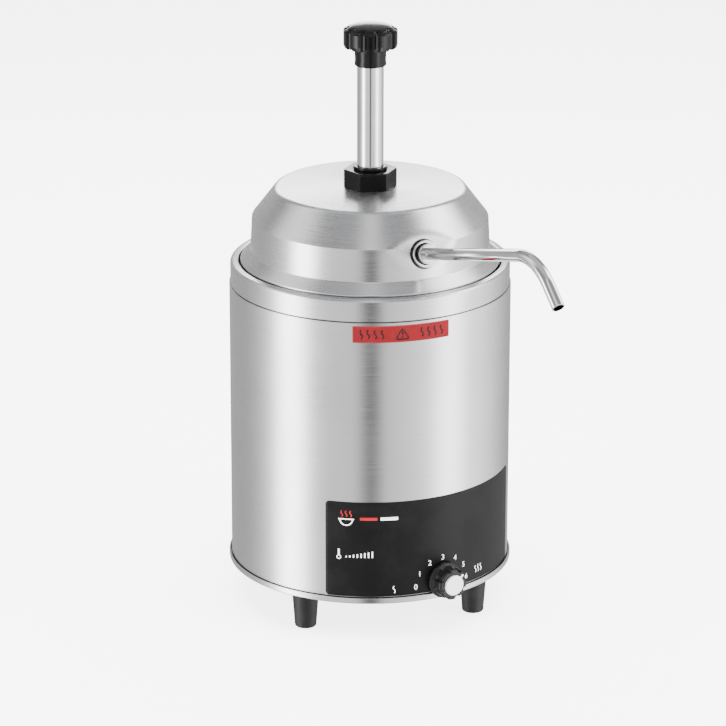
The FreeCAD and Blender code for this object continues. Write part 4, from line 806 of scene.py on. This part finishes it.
def label_piece(name, centre, foot, width, height, corner, proud, wall, material):
    """A thin label with round corners on the wrap.

    Its rows are level. Near the top and bottom a row is shorter on each side by corner - sqrt(corner
    squared - rise into the corner squared), which draws the corner's quarter circle."""
    share = np.linspace(0, 1, 9)
    ends = corner * (1 - np.cos(share * math.pi / 2))
    up = np.concatenate([ends, np.linspace(corner, height - corner, 12)[1:-1], height - ends[::-1]])
    into = np.clip(np.maximum(corner - up, up - height + corner), 0, corner)
    half = width / 2 - (corner - np.sqrt(np.maximum(corner ** 2 - into ** 2, 0)))
    across = centre + half[:, None] * np.linspace(-1, 1, 97)[None, :]
    points = on_wrap(across, foot + up[:, None], proud)
    return wall_up(grid_piece(name, points, "base", material), wall)


def stroke(name, across, up, width, material, proud, wall=0.06):
    """A ribbon of ink: each point of a line on the wrap is moved by half the width to either side."""
    line = np.stack([across, up], 1)
    way = np.gradient(line, axis=0)
    way /= np.linalg.norm(way, axis=1)[:, None]
    side = np.stack([-way[:, 1], way[:, 0]], 1) * width / 2
    pair = np.stack([line - side, line + side], 1)
    points = on_wrap(pair[:, :, 0], pair[:, :, 1], proud)
    return wall_up(grid_piece(name, points, "base", material), wall)


def heat_wave(name, across, foot, height, width, material, proud, sway=0.9):
    """An upright wavy line, the plain sign for heat: its side-step is a sine of its height."""
    share = np.linspace(0, 1, 33)
    wave = across + sway * np.sin(share * 2 * math.pi)
    return stroke(name, wave, foot + share * height, width, material, proud)


def ring_sign(name, across, up, radius, width, material, proud, start=0.0, sweep=360.0):
    """A ring or an arc of ink about a point."""
    turn = np.radians(start + np.linspace(0, sweep, 65))
    return stroke(name, across + radius * np.cos(turn), up + radius * np.sin(turn), width, material, proud)


def digit_piece(number, across, up, size, material, proud):
    """A printed digit: the outline of a plain figure, filled, then laid on the wrap."""
    curve = bpy.data.curves.new("digit", "FONT")
    curve.body = str(number)
    curve.size = size
    curve.align_x = "CENTER"
    curve.align_y = "CENTER"
    text = bpy.data.objects.new("digit", curve)
    bpy.context.scene.collection.objects.link(text)
    flat = bpy.data.meshes.new_from_object(text.evaluated_get(bpy.context.evaluated_depsgraph_get()))
    bpy.data.objects.remove(text)
    count = len(flat.vertices)
    place = np.empty(count * 3, np.float32)
    flat.vertices.foreach_get("co", place)
    place = place.reshape(-1, 3)
    points = on_wrap(across + place[:, 0], up + place[:, 1], proud) * METRES
    flat.vertices.foreach_set("co", points.astype(np.float32).ravel())
    flat.materials.append(material)
    flat.update()
    piece = bpy.data.objects.new("dial_number_%s" % number, flat)
    bpy.context.scene.collection.objects.link(piece)
    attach(piece, "base")
    return wall_up(piece, 0.06)


def make_panel():
    """The black control panel label with its scale of numbers and plain signs."""
    centre, foot, width, height = label_place("panel_label")
    film = label_piece("black_panel", centre, foot, width, height, 3.2, 0.25, 0.2, materials["panel_film"])
    stand_for(film, "panel_label")
    ink = 0.31
    white = materials["white_mark"]
    scale_across, scale_up, scale_drop = 24.0, 22.0, 3.6
    digit_size = 6.4
    for number in range(7):
        turn = math.radians(180 - 30 * number)
        up = DIAL_HEIGHT + scale_up * math.sin(turn) - scale_drop
        digit_piece(number, scale_across * math.cos(turn), up, digit_size, white, ink)
    mark_wave("low_heat_sign_0", -42.0, foot + 2.6, white, ink)
    for index, across in enumerate((35.0, 38.4, 41.8)):
        mark_wave("high_heat_sign_%d" % index, across, foot + 6.0, white, ink)
    make_emblem(centre - width / 2, foot + height, white, ink)
    make_heat_scale(centre - width / 2, foot, white, ink)


def mark_wave(name, across, foot, material, proud):
    heat_wave(name, across, foot, 6.0, 0.75, material, proud, sway=0.8)


def make_emblem(left, top, white, ink):
    """A plain sign in the panel's corner: a bowl on a line with three heat waves, red and white."""
    across = left + 17.0
    level = top - 14.5
    bowl = ring_sign("bowl_sign", across, level, 5.2, 1.0, white, ink, start=180.0, sweep=180.0)
    rim = stroke("bowl_rim_sign", across + np.linspace(-6.4, 6.4, 17), np.full(17, level), 1.0, white, ink)
    for index in range(3):
        wave = heat_wave("emblem_wave_%d" % index, across + (index - 1) * 3.6, top - 12.6, 5.2, 0.9, red_ink,
                         ink, sway=0.7)
    bars = ((28.0, red_ink, "red_film"), (44.5, white, "white_mark"))
    for index, (start, colour, slot) in enumerate(bars):
        run = left + start + np.linspace(0, 14.0, 25)
        line = stroke("emblem_bar_%d" % index, run, np.full(25, top - 14.0), 2.6, colour, ink)


def make_heat_scale(left, foot, white, ink):
    """A thermometer sign and a row of ticks that grow with the heat."""
    across = left + 11.0
    level = foot + 33.5
    ring = ring_sign("thermometer_bulb", across, level, 1.5, 0.7, white, ink)
    stem = stroke("thermometer_stem", np.full(17, across), level + np.linspace(1.3, 7.0, 17), 1.5, white, ink)
    for index in range(8):
        tall = 1.2 + 0.6 * index
        tick = stroke("heat_tick_%d" % index, np.full(5, across + 6.0 + 3.0 * index),
                      level + np.linspace(0, tall, 5), 1.1, white, ink)


def make_caution_label():
    """The red hot-surface label: a pale margin, heat waves and a plain three-cornered sign."""
    centre, foot, width, height = label_place("caution_label")
    border = label_piece("label_margin", centre, foot, width, height, 1.0, 0.25, 0.2, pale_margin)
    stand_for(border, "caution_label")
    margin = 0.7
    field = label_piece("red_label_field", centre, foot + margin, width - 2 * margin, height - 2 * margin,
                        0.7, 0.3, 0.05, materials["red_film"])
    ink = 0.35
    pitch = 5.6
    middle = foot + height / 2
    for side, word in ((-1, "left"), (1, "right")):
        for index in range(4):
            across = centre + side * (16.0 + pitch * index)
            name = "label_wave_%s_%d" % (word, index)
            heat_wave(name, across, middle - 3.6, 7.2, 1.25, black_ink, ink)
    half = 5.6
    tall = 8.8
    corners = rounded([(centre - half, middle - tall / 2, 1.0), (centre + half, middle - tall / 2, 1.0),
                       (centre, middle + tall / 2, 1.0)])
    loop = finer(corners, 0.5)
    loop = np.concatenate([loop, loop[:1]])
    sign = stroke("label_three_corner_sign", loop[:, 0], loop[:, 1], 1.1, black_ink, ink)
    bar_up = middle + np.linspace(-0.9, 2.0, 9)
    dot_up = middle + np.linspace(-2.9, -1.7, 5)
    bar = stroke("label_sign_bar", np.full(9, centre), bar_up, 1.3, black_ink, ink)
    dot = stroke("label_sign_dot", np.full(5, centre), dot_up, 1.3, black_ink, ink)


# ---------------------------------------------------------------- dial

def fluted(reach, groove, depth, count, turn, soft):
    """A radius with round grooves: the groove's circle stands at reach + groove - depth from the axis.

    Along a ray at angle a from the groove's middle the circle is met at d cos a - sqrt(groove squared -
    (d sin a) squared). The smaller of that and the plain radius is taken, with a soft corner."""
    away = reach + groove - depth

    def shape(radius, height, turns):
        pitch = 2 * math.pi / count
        angle = (turns - math.radians(turn) + pitch / 2) % pitch - pitch / 2
        inside = groove ** 2 - (away * np.sin(angle)) ** 2
        met = away * np.cos(angle) - np.sqrt(np.maximum(inside, 0))
        met = np.where(inside > 0, met, reach + soft * 8)
        share = np.clip(0.5 + 0.5 * (reach - met) / soft, 0, 1)
        cut = reach * (1 - share) + met * share - soft * share * (1 - share) * 0.5
        full = np.clip((radius - reach * 0.72) / (reach * 0.2), 0, 1)
        return radius * (1 - full) + radius * cut / reach * full

    return shape


def make_dial_knob():
    """The dial: a plain skirt under a grip with eight grooves, rounded on its face."""
    low, high = extent("dial_knob")
    skirt = 14.8
    grip = 12.9
    deep = high[1] - low[1]
    socket, socket_deep = 9.2, 4.4
    shaft, shaft_deep = 3.0, 11.5
    groove = fluted(grip, 2.3, 1.7, 8, 50.0 + 22.5, 0.5)

    def shape(radius, height, turns):
        above = np.clip((height - 3.6) / 1.2, 0, 1)
        return radius * (1 - above) + groove(radius, height, turns) * above

    outline = finer(rounded([
        (socket, 0, 0.2), (skirt, 0, 0.4), (skirt, 2.5, 0.8), (grip, 4.2, 0.5), (grip, deep, 1.8),
        (0, deep, 0), (0, shaft_deep, 0), (shaft, shaft_deep, 0), (shaft, socket_deep, 0),
        (socket, socket_deep, 0),
    ]), 1.0)
    piece = turned("grooved_dial", outline, "dial", materials["matte_black"], shape=shape, place=on_dial)
    return stand_for(piece, "dial_knob")


def make_dial_cap():
    """The pale cap on the dial: a low disc with a rounded edge and a faint dish."""
    low, high = extent("dial_cap")
    radius = (high[0] - low[0]) / 2
    back = DIAL_BACK - high[1]
    front = DIAL_BACK - low[1]
    outline = rounded([(0, back, 0), (radius, back, 0), (radius, front, 0.9), (radius - 1.6, front, 0.3),
                       (0, front - 0.15, 0)])
    piece = turned("spun_dial_cap", outline, "dial", materials["silver_cap"], place=on_dial, around=128)
    return stand_for(piece, "dial_cap")


# ---------------------------------------------------------------- lid

def lid_facet(radius, height, turns, back=0.0):
    """The pressed flat for the spout: outside the flat's plane the radius is held to the plane.

    The plane leans in with the spout's rise. At a height it stands at a reach p, and the radius that
    meets it at angle a from the spout is p / cos a. The join is softened over a millimetre."""
    foot = LID_FOOT + LIP + FLARE_UP + FACET_FOOT
    reach = LID_RIM - FLARE_IN - BAND_IN * FACET_FOOT / BAND_UP
    plane = reach - (height - foot) * math.tan(math.radians(SPOUT_RISE)) - back
    angle = (turns - math.radians(SPOUT_TURN) + math.pi) % (2 * math.pi) - math.pi
    met = plane / np.maximum(np.cos(angle), 0.05)
    above = np.clip((height - foot + 0.8) / 1.6, 0, 1)
    met = met + (1 - above) * 40.0
    soft = 2.4
    share = np.clip(0.5 + 0.5 * (radius - met) / soft, 0, 1)
    held = radius * (1 - share) + met * share - soft * share * (1 - share) * 0.5
    return np.where(height > foot - 1.0, held, radius)


def make_lid_shell():
    """The spun lid: lip, flare, band, bevel and a flat top, with the pressed flat for the spout."""
    z_flare = LID_FOOT + LIP
    z_band = z_flare + FLARE_UP
    z_bevel = z_band + BAND_UP
    r_band = LID_RIM - FLARE_IN
    r_bevel = r_band - BAND_IN
    r_flat = r_bevel - BEVEL_IN
    outside = [
        (LID_RIM, LID_FOOT, 0.3), (LID_RIM, z_flare, 2.0), (r_band, z_band, 2.4), (r_bevel, z_bevel, 1.6),
        (r_flat, LID_TOP, 5.0), (LID_HOLE, LID_TOP, 0.2),
    ]
    sheet = LID_SHEET
    flare_half = math.atan2(FLARE_IN, FLARE_UP) / 2
    bevel_half = math.atan2(BEVEL_IN, BEVEL_UP) / 2
    flat_half = math.radians(45) - bevel_half
    inside = [
        (LID_HOLE, LID_TOP - sheet, 0.2), (r_flat - sheet * math.tan(flat_half), LID_TOP - sheet, 4.0),
        (r_bevel - sheet, z_bevel - sheet * math.tan(bevel_half), 1.0),
        (r_band - sheet, z_band - sheet * math.tan(flare_half), 2.0),
        (LID_RIM - sheet, z_flare - sheet * math.tan(flare_half), 1.2), (LID_RIM - sheet, LID_FOOT, 0.3),
    ]
    outline = finer(rounded(outside + inside, steps=8), 1.6)
    turning = np.argmin(np.abs(outline[:, 0] - LID_HOLE) + np.abs(outline[:, 1] - (LID_TOP - sheet)))
    inner = (np.arange(len(outline)) >= turning - 1)[:, None]
    wall = sheet / math.cos(math.radians(SPOUT_RISE))

    def shape(radius, height, turns):
        return np.where(inner, lid_facet(radius, height, turns, wall), lid_facet(radius, height, turns))

    piece = turned("spun_lid", outline, "lid", lid_steel, shape=shape, around=344)
    return stand_for(piece, "lid_shell")


def on_spout(points):
    """Move a piece made round Z to the spout's axis, its Z pointing out along the rise."""
    reach, height = spout_start()
    rise = math.radians(SPOUT_RISE)
    x, y, z = np.moveaxis(points, 2, 0)
    out = reach + z * math.cos(rise) - y * math.sin(rise)
    up = height + z * math.sin(rise) + y * math.cos(rise)
    return in_turn(out, up, x)


def make_spout():
    """The fitting's rings and the bent tube."""
    bore = 6.8
    nut = rounded([(bore, 0.05, 0), (11.0, 0.05, 0.3), (11.0, 3.6, 1.1), (8.8, 3.6, 0.3), (bore, 3.2, 0)])
    ring = turned("spout_ring_nut", nut, "lid", ring_steel, place=on_spout, around=128)
    stand_for(ring, "spout_locknut")
    collar = rounded([(bore, 3.3, 0), (8.4, 3.3, 0.2), (8.4, 7.6, 1.2), (bore, 7.8, 0.3)])
    sleeve = turned("spout_stepped_collar", collar, "lid", ring_steel, place=on_spout, around=128)
    stand_for(sleeve, "spout_collar")
    reach, height = spout_start()
    rise = math.radians(SPOUT_RISE)
    start = (reach + TUBE_STOP / 2 * math.cos(rise), height + TUBE_STOP / 2 * math.sin(rise))
    tube = bent_tube("bent_spout", start, SPOUT_RISE, SPOUT_RUN - TUBE_STOP / 2, SPOUT_BEND, -SPOUT_DROP,
                     SPOUT_TAIL, SPOUT_RADIUS, SPOUT_RADIUS - SPOUT_WALL, "lid", materials["polished_steel"])
    stand_for(tube, "spout_tube")


def make_riser():
    """The tube inside: up beside the cylinder, round a bend and out to the spout's fitting."""
    reach, height = spout_start()
    rise = math.radians(SPOUT_RISE)
    corner = height - (reach - RISER_REACH) * math.tan(rise)
    touch = RISER_BEND * math.tan((math.pi / 2 - rise) / 2)
    foot = foot_of("riser_tube")
    slant = (reach - RISER_REACH) / math.cos(rise) - touch - TUBE_STOP / 2
    tube = bent_tube("bent_riser", (RISER_REACH, foot), 90.0, corner - touch - foot, RISER_BEND,
                     -(90.0 - SPOUT_RISE), slant, SPOUT_RADIUS, SPOUT_RADIUS - SPOUT_WALL, "lid",
                     materials["satin_steel"])
    stand_for(tube, "riser_tube")


def make_cylinder():
    """The pump's cylinder with its flange; the thread above the lid is left plain."""
    low, high = extent("pump_cylinder")
    bore = BARREL - 1.5
    washer = 1.5
    flange = reach_of("pump_cylinder")
    flange_top = LID_TOP - LID_SHEET - washer
    flange_foot = flange_top - 2.5
    outline = rounded([
        (bore, low[2], 0.2), (BARREL, low[2], 0.4), (BARREL, flange_foot, 0.6), (flange, flange_foot, 0.3),
        (flange, flange_top, 0.3), (BARREL, flange_top, 0.2), (BARREL, high[2], 0.4), (bore, high[2], 0.2),
    ])
    piece = turned("pump_barrel", outline, "lid", plain_steel, around=160)
    stand_for(piece, "pump_cylinder")


def make_hex_nut():
    """The moulded cap nut: six flats with broken corners and a chamfered, dished face."""
    low, high = extent("hex_nut")
    flat = 38.4 / 2
    corner_turn = math.radians(8.0)

    def shape(radius, height, turns):
        pitch = math.pi / 3
        angle = (turns - corner_turn) % pitch - pitch / 2
        hexagon = flat / np.cos(angle)
        limit = flat / math.cos(pitch / 2) - 0.7
        held = np.minimum(hexagon, limit) / flat
        outer = np.clip((radius - 0.8 * flat) / (0.15 * flat), 0, 1)
        return radius * (1 + (held - 1) * outer)

    dish = high[2] - NUT_DISH
    thread_top = low[2] + 10.9
    outline = finer(rounded([
        (LID_HOLE, low[2], 0), (flat, low[2], 0.5), (flat, high[2], 1.1), (14.4, high[2], 0.5),
        (14.2, dish, 0.2), (NUT_OPENING, dish, 0), (NUT_OPENING, thread_top, 0), (LID_HOLE, thread_top, 0),
    ]), 1.2)
    piece = turned("moulded_hex_nut", outline, "lid", materials["gloss_black"], shape=shape, around=384,
                   sharp=28.0)
    stand_for(piece, "hex_nut")


def make_rod_guide():
    """The stepped collar that the plunger's tube runs through."""
    low, high = extent("rod_guide")
    flange = reach_of("rod_guide")
    nut_top = top_of("hex_nut")
    bore = 10.81
    outline = rounded([
        (bore, low[2], 0), (NUT_OPENING, low[2], 0), (NUT_OPENING, nut_top - NUT_DISH, 0),
        (flange, nut_top - 0.55, 0.2),
        (flange, high[2], 0.8), (bore, high[2], 0.4),
    ])
    piece = turned("stepped_guide", outline, "lid", materials["gloss_black"], around=160)
    stand_for(piece, "rod_guide")


# ---------------------------------------------------------------- plunger

def make_plunger_tube():
    """The bright tube between the piston and the knob."""
    foot = foot_of("plunger_tube")
    top = top_of("plunger_tube")
    radius = reach_of("plunger_tube")
    bore = radius - 1.2
    outline = rounded([(bore, foot, 0), (radius, foot, 0.3), (radius, top, 0.3), (bore, top, 0)])
    piece = turned("polished_plunger_tube", outline, "plunger", materials["polished_steel"], around=160)
    stand_for(piece, "plunger_tube")


def make_plunger_knob():
    """The hand knob: a waisted neck under a head with ten lobes and a low dome."""
    low, high = extent("plunger_knob")
    reach = 22.0
    neck = 12.8
    insert = 5.0
    shelf = low[2] + 15.0
    shoulder = shelf + 14.0
    dome = high[2] - shoulder
    groove = fluted(reach, 3.6, 3.0, 10, 5.0 + 18.0, 0.9)

    def shape(radius, height, turns):
        above = np.clip((height - shelf + 2.0) / 1.5, 0, 1)
        return radius * (1 - above) + groove(radius, height, turns) * above

    share = np.linspace(0, 1, 14)[:-1]
    round_dome = np.stack([reach * 0.86 * np.cos(share * math.pi / 2), shoulder + dome * 0.25 +
                           dome * 0.75 * np.sin(share * math.pi / 2)], 1)
    lower = rounded([
        (insert, low[2], 0), (neck, low[2], 0.9), (neck - 0.3, low[2] + 5.0, 1.0),
        (neck + 0.2, shelf - 1.0, 1.6),
        (reach - 1.2, shelf - 0.4, 1.8), (reach, shelf + 3.0, 1.5), (reach, shoulder, 2.4),
        (reach * 0.90, shoulder + dome * 0.2, 1.0), (insert, shoulder, 0),
    ])
    socket = low[2] - 14.0 + 30.0
    outline = np.concatenate([lower[:-1], round_dome, [[0, high[2]]], [[0, socket]], [[insert, socket]]])
    outline = finer(outline, 1.2)
    piece = turned("lobed_hand_knob", outline, "plunger", materials["gloss_black"], shape=shape, around=360)
    stand_for(piece, "plunger_knob")


def make_return_spring():
    """The return spring, which on the real pump shortens as the plunger goes down; here it keeps one length.

    Its centre line is a helix (radius cos t, radius sin t, foot + rise t) of nine turns, and each section is
    a circle in the upright plane through the axis, closed to a point at both ends."""
    low, high = extent("return_spring")
    wire = 0.8
    turns = 9.0
    radius = (high[0] - low[0]) / 2 - wire
    t = np.linspace(0, turns * 2 * math.pi, int(turns) * 48 + 1)
    t = np.concatenate([t[:1], t, t[-1:]])[:, None]
    thick = np.full(t.shape, wire)
    thick[[0, -1]] = 0
    height = low[2] + wire + (high[2] - low[2] - 2 * wire) * t / (turns * 2 * math.pi)
    section = np.linspace(0, 2 * math.pi, 16, endpoint=False)[None, :]
    out = radius + thick * np.cos(section)
    points = np.stack([out * np.cos(t), out * np.sin(t), height + thick * np.sin(section)], 2)
    piece = grid_piece("wound_return_spring", points, "lid", materials["spring_steel"], round_columns=True)
    stand_for(piece, "return_spring")
    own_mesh(piece)


# ---------------------------------------------------------------- studio

def soft_light(name, turn, distance, height, aim, width, tall, power):
    """A large flat light that stands at a turn from the front and faces a height on the axis."""
    light = bpy.data.lights.new(name, "AREA")
    light.shape = "RECTANGLE"
    light.size = width
    light.size_y = tall
    light.energy = power
    item = bpy.data.objects.new(name, light)
    angle = math.radians(turn)
    item.location = (distance * math.sin(angle), -distance * math.cos(angle), height)
    item.rotation_mode = "QUATERNION"
    item.rotation_quaternion = (Vector((0, 0, aim)) - item.location).to_track_quat("-Z", "Y")
    bpy.context.scene.collection.objects.link(item)
    return item


def make_floor():
    """A wide pale floor of lit matt paper, left out of reflections so that the tent's bands go on down."""
    material, tree, shader, position = new_material("pale_floor_finish", Roughness=0.9)
    fine = noise(tree, position, 3.0, 3.0)
    paper = blend_colours(tree, fine, (0.86, 0.86, 0.86, 1), (0.88, 0.88, 0.88, 1))
    tree.links.new(paper, shader.inputs["Base Color"])
    tree.links.new(paper, shader.inputs["Emission Color"])
    shader.inputs["Emission Strength"].default_value = 4.5
    half = 9.0
    corners = [(-half, -half, 0), (half, -half, 0), (half, half, 0), (-half, half, 0)]
    mesh = bpy.data.meshes.new("pale_floor")
    mesh.from_pydata(corners, [], [(0, 1, 2, 3)])
    mesh.materials.append(material)
    floor = bpy.data.objects.new("pale_floor", mesh)
    floor.visible_glossy = False
    bpy.context.scene.collection.objects.link(floor)


def make_glow_group():
    """How brightly the tent shines: a sum of soft lobes over the angle from the camera's side.

    The angle runs from -180 to 180 degrees, to the right. A lobe is 1 in its middle and falls to 0 at its
    half width as a smooth step. The back is brighter above the height of the lid."""
    group, source, result = new_group("tent_glow", [("Position", "vector", None)], [("Glow", "float")])
    turn = math.radians(CAMERA_TURN)

    def along(direction):
        dot = group.nodes.new("ShaderNodeVectorMath")
        dot.operation = "DOT_PRODUCT"
        group.links.new(source.outputs["Position"], dot.inputs[0])
        dot.inputs[1].default_value = direction
        return dot.outputs["Value"]

    def smooth(value, low, high, start, end):
        node = group.nodes.new("ShaderNodeMapRange")
        node.interpolation_type = "SMOOTHSTEP"
        for socket, number in zip(node.inputs, (value, low, high, start, end)):
            set_socket(group, socket, number)
        return node.outputs[0]

    to_right = along((math.cos(turn), math.sin(turn), 0.0))
    to_camera = along((math.sin(turn), -math.cos(turn), 0.0))
    height = along((0.0, 0.0, 1.0))
    angle = sum_up(group, "DEGREES", sum_up(group, "ARCTAN2", to_right, to_camera))
    turned_away = sum_up(group, "ABSOLUTE", angle)

    def with_lobes(glow, lobes):
        for middle, half, strength in lobes:
            away = sum_up(group, "ABSOLUTE", sum_up(group, "SUBTRACT", angle, middle))
            glow = sum_up(group, "ADD", glow, smooth(away, 0.0, half, strength, 0.0))
        return glow

    low = with_lobes(smooth(turned_away, *FRONT_FALL), LOW_LOBES)
    off_gap = sum_up(group, "ABSOLUTE", sum_up(group, "SUBTRACT", angle, GAP_MIDDLE))
    low = sum_up(group, "MULTIPLY", low, smooth(off_gap, *GAP_EDGE))
    behind = sum_up(group, "MULTIPLY", smooth(turned_away, *BACK_RISE), smooth(height, *BACK_STRIP))
    high = with_lobes(sum_up(group, "ADD", behind, HIGH_GLOW), HIGH_LOBES)
    share = smooth(height, *LOW_TO_HIGH)
    rest = sum_up(group, "MULTIPLY", low, sum_up(group, "SUBTRACT", 1.0, share))
    group.links.new(sum_up(group, "ADD", rest, sum_up(group, "MULTIPLY", high, share)), result.inputs["Glow"])
    return group


# the tent's lobes of light: middle and half width in degrees from the camera's side, and strength
LOW_LOBES = ((-59.5, 19.0, 8.0), (-62.0, 34.0, 1.2), (60.0, 20.0, 3.4), (76.0, 66.0, 1.6))
HIGH_LOBES = ((88.0, 32.0, 6.5), (-88.0, 30.0, 1.6), (1.0, 20.0, 1.3))
# smooth steps of the tent: from and to (degrees, or metres of height), then the glow at each
FRONT_FALL = (55.0, 118.0, 1.35, 0.62)
GAP_EDGE = (1.5, 12.5, 0.13, 1.0)
BACK_RISE = (138.0, 158.0, 0.0, 1.0)
BACK_STRIP = (0.55, 0.61, 8.0, 0.2)
LOW_TO_HIGH = (0.41, 0.50, 0.0, 1.0)
GAP_MIDDLE = 0.8
HIGH_GLOW = 0.42
TENT_RADIUS = 0.42
TENT_FOOT = -0.30
TENT_HEIGHT = 1.0


def make_tent():
    """A round light tent about the warmer: soft strips of light with a dark gap between them, seen only in
    reflections."""
    material, tree, shader, position = new_material("light_tent_finish", Roughness=1.0)
    shader.inputs["Base Color"].default_value = (0.0, 0.0, 0.0, 1.0)
    glow = use_group(tree, make_glow_group(), Position=position)
    shade = tree.nodes.new("ShaderNodeCombineColor")
    for socket in shade.inputs:
        tree.links.new(glow.outputs["Glow"], socket)
    tree.links.new(shade.outputs[0], shader.inputs["Emission Color"])
    shader.inputs["Emission Strength"].default_value = 1.0
    sides = 96
    turn = np.linspace(0, 2 * math.pi, sides, endpoint=False)[None, :]
    height = np.array([TENT_FOOT, TENT_HEIGHT])[:, None]
    points = np.stack(np.broadcast_arrays(TENT_RADIUS * np.sin(turn), TENT_RADIUS * np.cos(turn), height), 2)
    mesh = bpy.data.meshes.new("light_tent")
    column = np.arange(sides)
    faces = np.stack([column, (column + 1) % sides, sides + (column + 1) % sides, sides + column], 1)
    mesh.from_pydata(points.reshape(-1, 3).tolist(), [], faces.tolist())
    mesh.materials.append(material)
    tent = bpy.data.objects.new("light_tent", mesh)
    tent.visible_camera = False
    tent.visible_diffuse = False
    tent.visible_shadow = False
    bpy.context.scene.collection.objects.link(tent)


CAMERA_TURN = -31.0
CAMERA_DISTANCE = 2.961
CAMERA_HEIGHT = 1.203
CAMERA_PITCH = 18.78
CAMERA_YAW = 0.13
CAMERA_ROLL = -0.06
CAMERA_LENS = 189.7


def make_camera():
    """A long lens that looks down at the warmer from the front left."""
    data = bpy.data.cameras.new("camera")
    data.sensor_width = 36.0
    data.lens = CAMERA_LENS
    camera = bpy.data.objects.new("camera", data)
    turn = math.radians(CAMERA_TURN)
    camera.location = (CAMERA_DISTANCE * math.sin(turn), -CAMERA_DISTANCE * math.cos(turn), CAMERA_HEIGHT)
    camera.rotation_euler = (
        math.radians(90.0 - CAMERA_PITCH), math.radians(CAMERA_ROLL), turn + math.radians(CAMERA_YAW))
    bpy.context.scene.collection.objects.link(camera)
    bpy.context.scene.camera = camera


def make_lights():
    for name, turn in (("left_soft_light", CAMERA_TURN - 70.0), ("right_soft_light", CAMERA_TURN + 70.0)):
        light = soft_light(name, turn, 1.9, 1.5, 0.0, 1.5, 1.0, 60.0)
        light.visible_glossy = False
    light = soft_light("top_soft_light", 149.0, 0.2, 2.2, 0.0, 2.6, 2.6, 190.0)
    light.visible_glossy = False
    world = bpy.data.worlds.new("studio_air")
    world.use_nodes = True
    background = next(node for node in world.node_tree.nodes if node.type == "BACKGROUND")
    background.inputs["Color"].default_value = (0.93, 0.95, 1.0, 1.0)
    background.inputs["Strength"].default_value = 0.85
    bpy.context.scene.world = world


make_camera()
finish_cad_nodes()
make_base_pan()
make_wrap()
make_shoulder()
make_well()
make_pot()
make_feet()
make_panel()
make_caution_label()
make_dial_knob()
make_dial_cap()
make_lid_shell()
make_spout()
make_riser()
make_cylinder()
make_hex_nut()
make_rod_guide()
make_plunger_tube()
make_plunger_knob()
make_return_spring()
make_floor()
make_tent()
make_lights()
